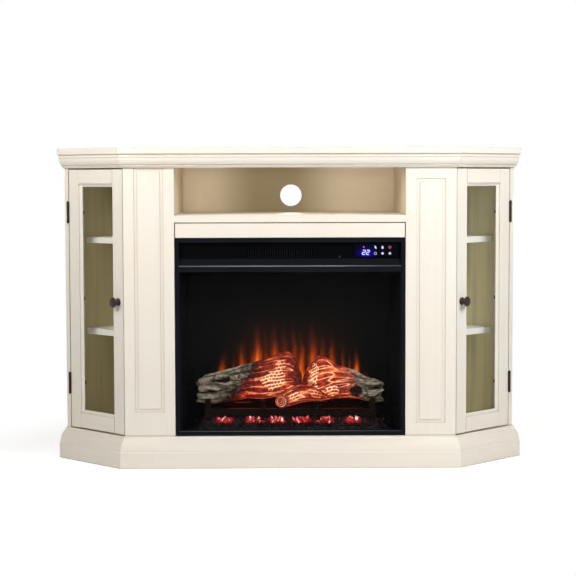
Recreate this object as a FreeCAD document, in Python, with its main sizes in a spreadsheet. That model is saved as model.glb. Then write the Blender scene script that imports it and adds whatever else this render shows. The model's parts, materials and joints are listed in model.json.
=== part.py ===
import FreeCAD, Part
import math
import os
import re
import Sketcher
from FreeCAD import Placement, Rotation, Vector

# Corner cabinet with a glazed door in each wing, a media bay and an electric firebox insert.
# Drawn with the body's front plane at y = 0, +Y towards the back and the floor at z = 0.
# Each piece is then placed so that the origin is the middle of the bounding box on the floor.

doc = FreeCAD.newDocument("CornerFireplace")

# Driving dimensions, in millimetres and degrees
SIZES = {
    # Plan and height
    "front_half": 425,
    "pilaster_wide": 129.7,
    "back_return": 47.4,
    "wing_angle": 45,
    "body_depth": 406,
    "total_height": 819,
    # Boards
    "top_thick": 16,
    "side_thick": 15,
    "board_thick": 15,
    "back_thick": 6,
    "pilaster_thick": 18,
    "rail_thick": 15,
    # Crown moulding
    "crown_overhang": 25,
    "top_arris": 2.5,
    "crown_drop": 35,
    "crown_fillet_out": 20,
    "crown_fillet_drop": 8.5,
    "crown_step": 1.6,
    "crown_cove_out": 9.5,
    "crown_cove_drop": 28.5,
    "crown_bead_out": 11,
    "crown_bead_rise": 4.5,
    "crown_bead_curve": 5,
    "crown_cove_curve": 22.8,
    "crown_foot_out": 6,
    # Base moulding
    "plinth_height": 80,
    "plinth_overhang": 27,
    "plinth_board_height": 40,
    "plinth_fillet_out": 24.5,
    "plinth_fillet_height": 2.5,
    "plinth_neck_out": 10.5,
    "plinth_neck_drop": 9,
    "plinth_cap_round": 5,
    "plinth_cove_curve": 36.8,
    # Media bay and apron
    "media_bay_tall": 121.5,
    "media_shelf_thick": 18,
    "apron_tall": 39,
    "apron_setback": 1.5,
    "apron_gap": 2.5,
    "apron_lip": 6,
    "cable_hole_radius": 30,
    "cable_hole_x": 6,
    "cable_hole_rise": 46.5,
    "cord_port_wide": 100,
    "cord_port_tall": 60,
    "cord_port_radius": 12,
    "cord_port_rise": 34,
    # Pilaster panel line
    "panel_margin_inner": 27.6,
    "panel_margin_outer": 27.6,
    "panel_margin_top": 29,
    "panel_margin_bottom": 33,
    "panel_line_wide": 8.5,
    "panel_line_deep": 1.8,
    "panel_lift_left": 29,
    "panel_lift_right": 0,
    # Doors
    "door_thick": 18,
    "door_gap": 2.5,
    "door_gap_bottom": 3,
    "door_gap_top": 4,
    "stile_wide": 40,
    "top_rail_wide": 37,
    "bottom_rail_wide": 39.5,
    "door_arris": 1,
    "bead_wide": 8,
    "bead_setback": 3,
    "bead_lip": 1.2,
    "bead_thick": 6,
    "glass_thick": 3,
    "glass_play": 0.5,
    "knob_height_share": 0.5015,
    "knob_radius": 12.8,
    "knob_reach": 20.5,
    "knob_neck_radius": 4.5,
    "knob_rosette_radius": 10,
    "knob_rosette_thick": 3,
    "knob_flare_curve": 7.2,
    "knob_head_thick": 9.9,
    "knob_brow": 4.5,
    "knob_rim": 3,
    "knob_rim_curve": 2.1,
    # Hinges
    "hinge_length": 54,
    "hinge_inset_top": 112,
    "hinge_inset_bottom": 116,
    "hinge_knuckle_radius": 3.2,
    "hinge_pin_radius": 1.5,
    "hinge_pin_out": 3.4,
    "hinge_pin_play": 0.06,
    "hinge_leaf_thick": 1,
    "hinge_leaf_reach": 15,
    "hinge_middle_share": 0.4,
    "hinge_end_play": 0.3,
    "hinge_tip_radius": 2.6,
    # Catches
    "catch_long": 40,
    "catch_deep": 14,
    "catch_tall": 13,
    "catch_play": 0.4,
    # Side shelves and pins
    "shelf_thick": 16,
    "high_shelf_share": 0.7,
    "low_shelf_share": 0.363,
    "shelf_setback": 40,
    "shelf_play": 1,
    "pin_radius": 2.5,
    "pin_reach": 9,
    "pin_from_back": 60,
    "pin_from_front": 45,
    # Firebox insert: trim frame
    "insert_play": 1.3,
    "insert_lift": 1,
    "insert_setback": 1,
    "trim_deep": 14,
    "trim_side": 10.5,
    "trim_head": 11.5,
    "trim_foot": 10,
    "trim_bevel": 4.5,
    "window_drop": 86.5,
    "ledge_drop": 71.5,
    # Firebox insert: control fascia, grille and panel
    "fascia_depth": 12,
    "fascia_slope_rise": 21,
    "fascia_sheet": 2,
    "fascia_play": 0.4,
    "vent_left": -113,
    "vent_wide": 174,
    "vent_rise": 23,
    "vent_tall": 20,
    "grille_margin": 5,
    "grille_thick": 2,
    "grille_slot_wide": 3.6,
    "grille_slots": 28,
    "panel_inset": 7.5,
    "panel_wide": 113,
    "panel_rise": 22.5,
    "panel_tall": 33.5,
    "panel_thick": 5,
    # Firebox insert: casing and chamber
    "casing_inset": 5,
    "casing_depth": 210,
    "casing_drop": 3.5,
    "sheet": 1.5,
    "deck_rise": 2,
    "front_glass_lap": 3,
    "front_glass_thick": 4,
    "liner_gap": 3.5,
    "liner_taper": 16,
    "screen_room": 80,
    "screen_thick": 3,
    # Ember bed and grate
    "ember_top_inset": 40,
    "ember_foot_inset": 10,
    "ember_front": 32,
    "ember_slope": 14,
    "ember_back_gap": 8,
    "ember_tall": 33,
    "ember_wall": 8,
    "grate_inset": 6,
    "grate_bar_gap": 12,
    "grate_bar_tall": 18,
    "grate_bar_lead": 6,
    "grate_bar_thick": 5,
    "grate_post_wide": 14.5,
    "grate_post_tall": 50,
    "outer_post_lift": 6,
    "grate_post_inset": 9.5,
    "grate_post_share": 0.32,
    "grate_seat_rise": 36,
    "inner_seat_lift": 12,
    "grate_seat_thick": 6,
    "grate_leg_inset": 14,
    # Logs
    "log_rest_gap": 0.3,
    "log_overhang": 24.5,
    "left_log_right": 31,
    "right_log_left": 34,
    "log_setback": 32,
    "log_back_gap": 4,
    "log_sink": 6,
    "log_tall": 143,
    "small_log_left": -30,
    "small_log_right": 97,
    "small_log_setback": 7,
    "small_log_deep": 30,
    "small_log_sink": 8,
    "small_log_tall": 64,
    # Flame drive
    "spindle_from_back": 42,
    "spindle_rise": 94.5,
    "spindle_end_gap": 51.5,
    "spindle_radius": 3,
    "spindle_play": 0.06,
    "vane_reach": 17,
    "vane_long": 26,
    "vane_thick": 0.8,
    "vane_count": 14,
    "vane_turn": 50,
    "bracket_half_wide": 16,
    "bracket_head": 14,
    "motor_radius": 24,
    "motor_thick": 18,
    "board_sheet": 1.6,
    "flame_board_inset": 26,
    "flame_board_gap": 7,
    "flame_board_deep": 16,
    "ember_board_deep": 20,
    # Heater
    "duct_margin": 9,
    "duct_room": 50,
    "duct_foot": 3,
    "wheel_from_back": 42,
    "wheel_radius": 29,
    "wheel_gap": 8,
    "wheel_blades": 22,
    "wheel_blade_thick": 1,
    "wheel_blade_deep": 9,
    "wheel_blade_curve": 13,
    "wheel_disc": 1.6,
    "wheel_shaft": 3,
    "element_share": 0.61,
    "element_deep": 14,
    "element_rim": 6,
    "element_bars": 9,
    "element_bar_wide": 5,
    "blower_motor_radius": 25,
    "blower_motor_long": 34,
    "power_board_gap": 31,
    "power_board_inset": 32.5,
    "power_board_front": 50,
    "power_board_deep": 95,
    "gland_inset": 84,
    "gland_rise": 48,
    "gland_radius": 9,
    "gland_flange": 13,
    "gland_reach": 14,
    "gland_bore": 4.2,
    # How far a cut runs past what it cuts
    "overrun": 5,
}

# Sizes that follow from the driving dimensions
WORKED_OUT = {
    "front_y": "-(body_depth - plinth_overhang) / 2",
    "opening_half": "front_half - pilaster_wide",
    "divider_face": "opening_half + board_thick",
    "back_half": "divider_face + back_return",
    "wing_length": "(back_half + body_depth * tan(wing_angle) - front_half) * cos(wing_angle)",
    "outer_x": "front_half + wing_length * cos(wing_angle)",
    "outer_y": "wing_length * sin(wing_angle)",
    "mitre": "tan(wing_angle / 2)",
    "back_face": "body_depth - back_thick",
    "top_face": "total_height - top_thick",
    "opening_top": "top_face - crown_drop",
    "floor_bottom": "plinth_height - board_thick",
    "media_shelf_top": "opening_top - media_bay_tall",
    "media_shelf_bottom": "media_shelf_top - media_shelf_thick",
    "cable_hole_z": "media_shelf_top + cable_hole_rise",
    "shelf_room": "top_face - plinth_height",
    "shelf_top_high": "plinth_height + shelf_room * high_shelf_share",
    "shelf_top_low": "plinth_height + shelf_room * low_shelf_share",
    "door_far": "wing_length - side_thick - door_gap",
    "door_bottom": "plinth_height + door_gap_bottom",
    "door_top": "opening_top - door_gap_top",
    "pane_near": "door_gap + stile_wide",
    "pane_far": "door_far - stile_wide",
    "pane_bottom": "door_bottom + bottom_rail_wide",
    "pane_top": "door_top - top_rail_wide",
    "bead_back": "bead_setback + bead_thick",
    "knob_face": "knob_radius - knob_rim / 2",
    "knob_crown_curve": "(knob_face ^ 2 + (knob_rim / 2) ^ 2) / knob_rim",
    "knob_height": "door_bottom + (door_top - door_bottom) * knob_height_share",
    "hinge_s": "door_far + door_gap / 2",
    "hinge_high": "door_top - hinge_inset_top",
    "hinge_low": "door_bottom + hinge_inset_bottom",
    "insert_half": "opening_half - insert_play",
    "insert_bottom": "plinth_height + insert_lift",
    "insert_top": "media_shelf_bottom - apron_tall - insert_lift",
    "trim_back": "insert_setback + trim_deep",
    "window_half": "insert_half - trim_side",
    "window_bottom": "insert_bottom + trim_foot",
    "window_top": "insert_top - window_drop",
    "ledge_top": "insert_top - ledge_drop",
    "fascia_top": "insert_top - trim_head",
    "fascia_slope_top": "ledge_top + fascia_slope_rise",
    "vent_bottom": "ledge_top + vent_rise",
    "panel_left": "window_half - panel_inset - panel_wide",
    "panel_bottom": "ledge_top + panel_rise",
    "casing_half": "insert_half - casing_inset",
    "casing_inside": "casing_half - sheet",
    "casing_top": "insert_top - casing_drop",
    "deck_height": "window_top + deck_rise",
    "deck_top": "deck_height + sheet",
    "front_glass_half": "window_half + front_glass_lap",
    "chamber_floor": "plinth_height + sheet",
    "liner_floor": "chamber_floor + sheet",
    "liner_front_half": "casing_inside - liner_gap",
    "liner_back_half": "liner_front_half - liner_taper",
    "screen_depth": "casing_depth - screen_room",
    "screen_back": "screen_depth + screen_thick",
    "ember_top_half": "liner_back_half - ember_top_inset",
    "ember_foot_half": "liner_back_half - ember_foot_inset",
    "ember_front_top": "ember_front + ember_slope",
    "ember_back": "screen_depth - ember_back_gap",
    "ember_top": "liner_floor + ember_tall",
    "grate_half": "ember_top_half - grate_inset",
    "grate_bar_bottom": "ember_top + grate_bar_gap",
    "grate_bar_top": "grate_bar_bottom + grate_bar_tall",
    "grate_bar_front": "ember_front - grate_bar_lead",
    "inner_post_top": "ember_top + grate_post_tall",
    "outer_post_top": "inner_post_top + outer_post_lift",
    "grate_post_inner": "grate_half * grate_post_share",
    "grate_post_outer": "grate_half - grate_post_inset",
    "grate_seat": "ember_top + grate_seat_rise",
    "inner_seat": "grate_seat + inner_seat_lift",
    "grate_seat_back": "ember_back - grate_leg_inset",
    "log_end": "grate_half + log_overhang",
    "log_front": "grate_bar_front + log_setback",
    "log_back": "screen_depth - log_back_gap",
    "log_low": "grate_seat - log_sink",
    "log_high": "log_low + log_tall",
    "small_log_front": "grate_bar_front + small_log_setback",
    "small_log_back": "small_log_front + small_log_deep",
    "small_log_low": "grate_seat - small_log_sink",
    "small_log_high": "small_log_low + small_log_tall",
    "spindle_y": "casing_depth - spindle_from_back",
    "spindle_z": "chamber_floor + spindle_rise",
    "spindle_half": "casing_inside - spindle_end_gap",
    "flame_board_half": "spindle_half - flame_board_inset",
    "flame_board_front": "screen_back + flame_board_gap",
    "duct_left": "vent_left - duct_margin",
    "duct_right": "vent_left + vent_wide + duct_margin",
    "duct_back": "casing_depth - duct_room",
    "duct_bottom": "deck_top + duct_foot",
    "duct_top": "casing_top - sheet - duct_foot",
    "wheel_y": "duct_back - wheel_from_back",
    "wheel_z": "(duct_bottom + duct_top) / 2",
    "duct_front": "fascia_depth + fascia_sheet + grille_thick",
    "element_y": "duct_front + (wheel_y - wheel_radius - element_deep - duct_front) * element_share",
    "gland_x": "casing_half - gland_inset",
    "gland_z": "plinth_height + gland_rise",
}


def fill_sheet():
    """The driving dimensions as cells: the name in column A, the value with its alias in column B."""
    cells = doc.addObject("Spreadsheet::Sheet", "Sizes")
    for row, (alias, value) in enumerate(SIZES.items(), 1):
        cells.set(f"A{row}", alias)
        cells.set(f"B{row}", str(value))
        cells.setAlias(f"B{row}", alias)
    doc.recompute()
    return cells


sheet = fill_sheet()


def ex(text):
    """An expression on the sheet, from text that uses the plain names above."""
    def expand(word):
        name = word.group(0)
        if name in WORKED_OUT:
            return f"({ex(WORKED_OUT[name])})"
        return f"Sizes.{name}" if name in SIZES else name
    return re.sub(r"[A-Za-z_]\w*", expand, str(text))


def size(text):
    """The present value of an expression, as a plain number."""
    return float(sheet.evalExpression(ex(text)))


def bind(item, prop, text):
    item.setExpression(prop, ex(text))


# Places in the plan

def wing_point(along, inward):
    """A point of the right wing: so far along its face, and so far in from it."""
    x = f"front_half + ({along}) * cos(wing_angle) - ({inward}) * sin(wing_angle)"
    y = f"({along}) * sin(wing_angle) + ({inward}) * cos(wing_angle)"
    return x, y


def side_x(y, inset=0):
    """Where the right side panel's outer face, moved in by inset, crosses a given y."""
    return f"outer_x - ({y} - outer_y) * tan(wing_angle) - ({inset}) / cos(wing_angle)"


def both_sides(points):
    """A symmetrical outline from its right half, listed from front to back."""
    return list(points) + [(f"-({x})", y) for x, y in reversed(points)]


def mirrored(points, side):
    """An outline for one side of the cabinet: side is 1 on the right and -1 on the left."""
    return [(f"{side} * ({x})", y, *arc) for x, y, *arc in points]


def rectangle(left, right, low, high):
    return [(left, low), (right, low), (right, high), (left, high)]


# Sketches and features

def plane_of(body, role):
    return [plane for plane in body.Origin.OriginFeatures if plane.Role == role][0]


def new_sketch(body, plane="XY_Plane", offset=None):
    sketch = body.newObject("Sketcher::SketchObject", "Outline")
    sketch.AttachmentSupport = (plane_of(body, plane), [""])
    sketch.MapMode = "FlatFace"
    if offset is not None:
        # The XZ plane faces the front, so a distance towards the back is negative along its normal
        along = f"-({offset})" if plane == "XZ_Plane" else offset
        bind(sketch, "AttachmentOffset.Base.z", along)
    return sketch


def pin_vertex(sketch, edge, end, x, y):
    """Hold one vertex of the sketch at expressions for its two coordinates."""
    for kind, text in (("DistanceX", x), ("DistanceY", y)):
        index = sketch.addConstraint(Sketcher.Constraint(kind, -1, 1, edge, end, size(text)))
        bind(sketch, f"Constraints[{index}]", text)


def arc_between(start, finish, radius, bulge):
    """An arc under a half turn; bulge is 1 when its centre lies left of the way from start to finish."""
    chord = finish - start
    half = chord.Length / 2
    rise = math.sqrt(max(radius * radius - half * half, 0))
    normal = Vector(-chord.y, chord.x, 0).normalize()
    centre = start + chord / 2 + normal * (rise * bulge)
    away = (start + chord / 2) - centre
    if away.Length < half * 1e-6:
        away = normal * -bulge
    middle = centre + away.normalize() * radius
    return Part.Arc(start, middle, finish)


def draw_outline(sketch, points):
    """A closed outline. A point (x, y, radius, bulge) is reached by an arc instead of a line."""
    first = sketch.GeometryCount
    count = len(points)
    places = [Vector(size(point[0]), size(point[1]), 0) for point in points]
    for index, point in enumerate(points):
        start, finish = places[index - 1], places[index]
        if len(point) == 4:
            edge = arc_between(start, finish, size(point[2]), point[3])
        else:
            edge = Part.LineSegment(start, finish)
        sketch.addGeometry(edge, False)
    # An arc runs counter-clockwise, so one drawn with its centre on the right has its ends swapped
    ends = [(2, 1) if len(point) == 4 and point[3] < 0 else (1, 2) for point in points]
    for index in range(count):
        after = (index + 1) % count
        tie = Sketcher.Constraint("Coincident", first + index, ends[index][1], first + after, ends[after][0])
        sketch.addConstraint(tie)
    for index, point in enumerate(points):
        pin_vertex(sketch, first + index, ends[index][1], point[0], point[1])
        if len(point) == 4:
            row = sketch.addConstraint(Sketcher.Constraint("Radius", first + index, size(point[2])))
            bind(sketch, f"Constraints[{row}]", point[2])


def draw_circle(sketch, x, y, radius):
    edge = sketch.GeometryCount
    sketch.addGeometry(Part.Circle(Vector(size(x), size(y), 0), Vector(0, 0, 1), size(radius)), False)
    row = sketch.addConstraint(Sketcher.Constraint("Radius", edge, size(radius)))
    bind(sketch, f"Constraints[{row}]", radius)
    pin_vertex(sketch, edge, 3, x, y)


def new_body(label):
    body = doc.addObject("PartDesign::Body", label)
    body.Label = label
    return body


def pad(body, outlines, length, plane="XY_Plane", start=0, circles=()):
    """Material from a start distance on, away from the viewer of the XZ plane, or up, or to the right."""
    sketch = new_sketch(body, plane, start)
    for points in outlines:
        draw_outline(sketch, points)
    for circle in circles:
        draw_circle(sketch, *circle)
    feature = body.newObject("PartDesign::Pad", "Pad")
    feature.Profile = sketch
    feature.Reversed = plane == "XZ_Plane"
    bind(feature, "Length", length)
    sketch.Visibility = False
    return feature


def cut(body, outlines, plane="XY_Plane", start=0, length=None, circles=()):
    """A pocket right through, or from a start distance on for a given length."""
    sketch = new_sketch(body, plane, start)
    for points in outlines:
        draw_outline(sketch, points)
    for circle in circles:
        draw_circle(sketch, *circle)
    feature = body.newObject("PartDesign::Pocket", "Pocket")
    feature.Profile = sketch
    if length is None:
        feature.Type = "ThroughAll"
        feature.SideType = "Symmetric"
    else:
        feature.Reversed = plane != "XZ_Plane"
        bind(feature, "Length", length)
    sketch.Visibility = False
    return feature


def sloped_cut(body, mouth, mouth_at, throat, throat_at):
    """A four-sided opening that narrows from a mouth outline to a throat outline further back."""
    sketches = []
    for points, place in ((mouth, mouth_at), (throat, throat_at)):
        sketch = new_sketch(body, "XZ_Plane", place)
        draw_outline(sketch, points)
        sketch.Visibility = False
        sketches.append(sketch)
    feature = body.newObject("PartDesign::SubtractiveLoft", "Slope")
    feature.Profile = sketches[0]
    feature.Sections = sketches[1:]
    feature.Ruled = True
    return feature


def ease_rim(body, slab, radius, height):
    """Round every edge of a slab that lies in one level."""
    doc.recompute()
    level = size(height)
    near = size("overrun") / 100
    names = [f"Edge{index}" for index, edge in enumerate(slab.Shape.Edges, 1)
             if all(abs(vertex.Point.z - level) < near for vertex in edge.Vertexes)]
    feature = body.newObject("PartDesign::Fillet", "EasedRim")
    feature.Base = (slab, names)
    bind(feature, "Radius", radius)
    slab.Visibility = False


def on_front(item):
    """Place a piece that was drawn from the middle of the front plane."""
    bind(item, "Placement.Base.y", "front_y")
    return item


def on_wing(item, side):
    """Place a piece that was drawn along one wing's face, from its corner with the front."""
    item.Placement = Placement(Vector(), Rotation(Vector(0, 0, side), size("wing_angle")))
    bind(item, "Placement.Base.x", f"{side} * front_half")
    bind(item, "Placement.Base.y", "front_y")
    bind(item, "Placement.Rotation.Angle", "wing_angle")
    return item


def board(label, points, low, high):
    """A board cut to an outline in the plan."""
    body = new_body(label)
    pad(body, [points], f"({high}) - ({low})", start=low)
    return on_front(body)


def block(label, x, y, z):
    """A straight piece from pairs of limits, in the front frame."""
    item = doc.addObject("Part::Box", label)
    item.Label = label
    for prop, base, (low, high) in zip(("Length", "Width", "Height"), "xyz", (x, y, z)):
        bind(item, prop, f"({high}) - ({low})")
        shift = f"front_y + ({low})" if base == "y" else low
        bind(item, f"Placement.Base.{base}", shift)
    return item


def group(label, members):
    item = doc.addObject("Part::Compound", label)
    item.Label = label
    item.Links = members
    return item


KEPT = []


def keep(item):
    KEPT.append(item)
    return item


SIDES = {"left": -1, "right": 1}


# Carcass

def carcass():
    crown_corner = ("front_half + crown_overhang * mitre", "-crown_overhang")
    top = new_body("top_board")
    outline = both_sides([
        crown_corner,
        wing_point("wing_length", "-crown_overhang"),
        (side_x("body_depth"), "body_depth"),
    ])
    slab = pad(top, [outline], "top_thick", start="top_face")
    ease_rim(top, slab, "top_arris", "total_height")
    keep(on_front(top))

    floor = both_sides([
        ("front_half", 0),
        wing_point("wing_length - side_thick", 0),
        (side_x("back_face", "side_thick"), "back_face"),
    ])
    keep(board("bottom_board", floor, "floor_bottom", "plinth_height"))

    for name, side in SIDES.items():
        panel = [
            wing_point("wing_length", 0),
            (side_x("back_face"), "back_face"),
            (side_x("back_face", "side_thick"), "back_face"),
            wing_point("wing_length - side_thick", 0),
        ]
        keep(board(f"side_panel_{name}", mirrored(panel, side), 0, "top_face"))
        divider = rectangle("opening_half", "divider_face", "pilaster_thick", "back_face")
        keep(board(f"divider_{name}", mirrored(divider, side), "plinth_height", "top_face"))

    back = new_body("back_panel")
    edge = side_x("body_depth")
    sheet = rectangle(f"-({edge})", edge, "floor_bottom", "top_face")
    pad(back, [sheet], "back_thick", "XZ_Plane", "back_face")
    hole = ("cable_hole_x", "cable_hole_z", "cable_hole_radius")
    cut(back, [cord_port()], "XZ_Plane", circles=[hole])
    keep(on_front(back))

    keep(block("media_shelf", ("-opening_half", "opening_half"), (0, "back_face"),
               ("media_shelf_bottom", "media_shelf_top")))
    keep(apron_rail())


def cord_port():
    """Rounded port behind the insert, for its cord and air."""
    left, right = "gland_x - cord_port_wide", "gland_x + cord_port_radius * 2"
    low = "plinth_height + cord_port_rise - cord_port_radius"
    high = f"({low}) + cord_port_tall"
    r = "cord_port_radius"
    return [
        (f"{right} - {r}", low), (right, f"{low} + {r}", r, 1),
        (right, f"{high} - {r}"), (f"{right} - {r}", high, r, 1),
        (f"{left} + {r}", high), (left, f"{high} - {r}", r, 1),
        (left, f"{low} + {r}"), (f"{left} + {r}", low, r, 1),
    ]


def apron_rail():
    """Rail between the insert and the media shelf, rebated for a shadow gap on three sides."""
    rail = new_body("apron_rail")
    low, high = "insert_top + insert_lift", "media_shelf_bottom"
    pad(rail, [rectangle("-opening_half", "opening_half", low, high)],
        "rail_thick - apron_lip", "XZ_Plane", "apron_setback + apron_lip")
    face = rectangle("-opening_half + apron_gap", "opening_half - apron_gap", low, f"{high} - apron_gap")
    pad(rail, [face], "apron_lip", "XZ_Plane", "apron_setback")
    return on_front(rail)


def headers():
    """Rails behind the crown: one over the media bay and one over each door."""
    span = ("top_face - crown_drop", "top_face")
    members = [block("HeaderFront", ("-opening_half", "opening_half"), (0, "rail_thick"), span)]
    for side in SIDES.values():
        rail = new_body("HeaderWing")
        along = rectangle(0, "wing_length - side_thick", 0, "rail_thick")
        pad(rail, [mirrored(along, side)], "crown_drop", start=span[0])
        members.append(on_wing(rail, side))
    keep(group("header_rails", members))


def base_rails():
    """Rails behind the base moulding and along the back, under the bottom board."""
    front = both_sides([("front_half", 0), ("front_half - rail_thick * tan(wing_angle)", "rail_thick")])
    members = [board("BaseFront", front, 0, "floor_bottom")]
    for side in SIDES.values():
        rail = new_body("BaseWing")
        along = rectangle(0, "wing_length - side_thick", 0, "rail_thick")
        pad(rail, [mirrored(along, side)], "floor_bottom")
        members.append(on_wing(rail, side))
    members.append(block("BaseBack", ("-opening_half", "opening_half"),
                         ("back_face - rail_thick", "back_face"), (0, "floor_bottom")))
    keep(group("base_rails", members))


def pilasters():
    for name, side in SIDES.items():
        body = new_body(f"pilaster_{name}")
        plan = [
            ("opening_half", 0), ("front_half", 0),
            ("front_half - pilaster_thick * tan(wing_angle)", "pilaster_thick"),
            ("opening_half", "pilaster_thick"),
        ]
        pad(body, [mirrored(plan, side)], "top_face - plinth_height", start="plinth_height")
        lift = f"panel_lift_{name}"
        inner, outer = "opening_half + panel_margin_inner", "front_half - panel_margin_outer"
        low = f"plinth_height + panel_margin_bottom + {lift}"
        high = f"opening_top - panel_margin_top + {lift}"
        line = "panel_line_wide"
        rings = [
            rectangle(inner, outer, low, high),
            rectangle(f"{inner} + {line}", f"{outer} - {line}", f"{low} + {line}", f"{high} - {line}"),
        ]
        cut(body, [mirrored(ring, side) for ring in rings], "XZ_Plane", 0, "panel_line_deep")
        keep(on_front(body))


# Mouldings

def crown_profile():
    """The part outside the crown: from its foot up to the fillet under the top board."""
    far = "-(crown_overhang + overrun)"
    top = "top_face"
    return [
        (far, f"{top} - crown_drop"),
        ("-crown_foot_out", f"{top} - crown_drop"),
        ("-crown_bead_out", f"{top} - crown_drop + crown_bead_rise", "crown_bead_curve", 1),
        ("-crown_bead_out", f"{top} - crown_cove_drop"),
        ("-crown_cove_out", f"{top} - crown_cove_drop"),
        ("-(crown_fillet_out - crown_step)", f"{top} - crown_fillet_drop", "crown_cove_curve", -1),
        ("-crown_fillet_out", f"{top} - crown_fillet_drop"),
        ("-crown_fillet_out", top),
        (far, top),
    ]


def plinth_profile():
    """The part outside the base moulding: cap, neck, cove and the fillet over the board."""
    far = "-(plinth_overhang + overrun)"
    cap = "plinth_height - plinth_neck_drop"
    return [
        (far, "plinth_board_height"),
        ("-plinth_overhang", "plinth_board_height"),
        ("-plinth_fillet_out", "plinth_board_height + plinth_fillet_height"),
        ("-plinth_neck_out", cap, "plinth_cove_curve", -1),
        ("-(plinth_neck_out - plinth_cap_round)", "plinth_height", "plinth_neck_drop", 1),
        (far, "plinth_height"),
    ]


def moulding(label, overhang, low, high, profile, side):
    """A mitred length with a moulded face. Side 0 is the front length, and 1 or -1 a wing's."""
    body = new_body(label)
    if side == 0:
        plan = [
            ("front_half", 0),
            ("-front_half", 0),
            (f"-(front_half + {overhang} * mitre)", f"-{overhang}"),
            (f"front_half + {overhang} * mitre", f"-{overhang}"),
        ]
    else:
        plan = mirrored([
            (0, 0), ("wing_length", 0),
            ("wing_length", f"-{overhang}"), (f"-{overhang} * mitre", f"-{overhang}"),
        ], side)
    pad(body, [plan], f"({high}) - ({low})", start=low)
    cut(body, [profile], "YZ_Plane")
    return on_front(body) if side == 0 else on_wing(body, side)


def mouldings():
    for name, side in (("front", 0), *SIDES.items()):
        keep(moulding(f"crown_{name}", "crown_overhang", "opening_top", "top_face", crown_profile(), side))
        keep(moulding(f"plinth_{name}", "plinth_overhang", 0, "plinth_height", plinth_profile(), side))


# Doors, drawn along the wing's face

def stile(label, near, far, side):
    """An upright with its two long front edges eased."""
    body = new_body(label)
    ease = "door_arris"
    plan = [
        (f"{near} + {ease}", 0), (f"{far} - {ease}", 0), (far, ease),
        (far, "door_thick"), (near, "door_thick"), (near, ease),
    ]
    pad(body, [mirrored(plan, side)], "door_top - door_bottom", start="door_bottom")
    return on_wing(body, side)


def rail(label, low, high, side):
    """A cross piece between the stiles, eased like them, drawn on its end section."""
    body = new_body(label)
    ease = "door_arris"
    section = [
        (ease, low), ("door_thick", low), ("door_thick", high),
        (ease, high), (0, f"{high} - {ease}"), (0, f"{low} + {ease}"),
    ]
    # Drawn from the near stile towards the far one, which is -X on the left wing
    start = "pane_near" if side > 0 else "-pane_far"
    pad(body, [section], "pane_far - pane_near", "YZ_Plane", start)
    return on_wing(body, side)


def glass_bead(label, side):
    """Ring that frames the pane, its face sloping in to the glass."""
    body = new_body(label)
    around = rectangle("pane_near", "pane_far", "pane_bottom", "pane_top")
    pad(body, [mirrored(around, side)], "bead_thick", "XZ_Plane", "bead_setback")
    outer, inner = (rectangle(f"pane_near + {inset}", f"pane_far - {inset}",
                              f"pane_bottom + {inset}", f"pane_top - {inset}")
                    for inset in ("bead_lip", "bead_wide"))
    cut(body, [mirrored(inner, side)], "XZ_Plane")
    sloped_cut(body, mirrored(outer, side), "bead_setback", mirrored(inner, side), "bead_back - bead_lip")
    return on_wing(body, side)


def door_glass(label, side):
    body = new_body(label)
    play = "glass_play"
    around = rectangle(
        f"pane_near + {play}", f"pane_far - {play}", f"pane_bottom + {play}", f"pane_top - {play}")
    pad(body, [mirrored(around, side)], "glass_thick", "XZ_Plane", "bead_back")
    return on_wing(body, side)


def knob(label, side):
    """Turned knob: rosette, waisted neck and a crowned head."""
    body = new_body(label)
    sketch = new_sketch(body, "XY_Plane", "knob_height")
    centre = f"{side} * (door_gap + stile_wide / 2)"

    def ring(radius, out, *arc):
        return (f"{centre} + {radius}", f"-({out})", *arc)

    draw_outline(sketch, [
        ring("0", 0),
        ring("knob_rosette_radius", 0),
        ring("knob_rosette_radius", "knob_rosette_thick / 2"),
        ring("knob_neck_radius", "knob_rosette_thick + knob_neck_radius", "knob_flare_curve", 1),
        ring("knob_neck_radius", "knob_reach - knob_head_thick"),
        ring("knob_radius", "knob_reach - knob_brow", "knob_radius", 1),
        ring("knob_face", "knob_reach - knob_rim / 2", "knob_rim_curve", -1),
        ring("0", "knob_reach", "knob_crown_curve", -1),
    ])
    turn = body.newObject("PartDesign::Revolution", "Turned")
    turn.Profile = sketch
    sketch.addGeometry(Part.LineSegment(Vector(size(centre), 0, 0), Vector(size(centre), -1, 0)), True)
    axis = sketch.GeometryCount - 1
    pin_vertex(sketch, axis, 1, centre, 0)
    pin_vertex(sketch, axis, 2, centre, "-knob_reach")
    turn.ReferenceAxis = (sketch, ["Axis0"])
    turn.Angle = 360
    return on_wing(body, side)


# Hinges: a fixed half with the pin, and a moving half that turns on it

def knuckle(outer, low, high, side):
    """A barrel round the hinge pin, between two heights."""
    item = doc.addObject("Part::Cylinder", "Knuckle")
    bind(item, "Radius", outer)
    bind(item, "Height", f"({high}) - ({low})")
    bind(item, "Placement.Base.x", f"{side} * hinge_s")
    bind(item, "Placement.Base.y", "-hinge_pin_out")
    bind(item, "Placement.Base.z", low)
    return item


def plate(near, far, front, back, low, high, side):
    """A flat leaf or tab, drawn along the wing."""
    item = doc.addObject("Part::Box", "Leaf")
    start = near if side > 0 else f"-({far})"
    for prop, base, low_end, high_end in (("Length", "x", near, far), ("Width", "y", front, back),
                                          ("Height", "z", low, high)):
        bind(item, prop, f"({high_end}) - ({low_end})")
        bind(item, f"Placement.Base.{base}", start if base == "x" else low_end)
    return item


def fuse(members):
    item = doc.addObject("Part::MultiFuse", "Joined")
    item.Shapes = members
    return item


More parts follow.
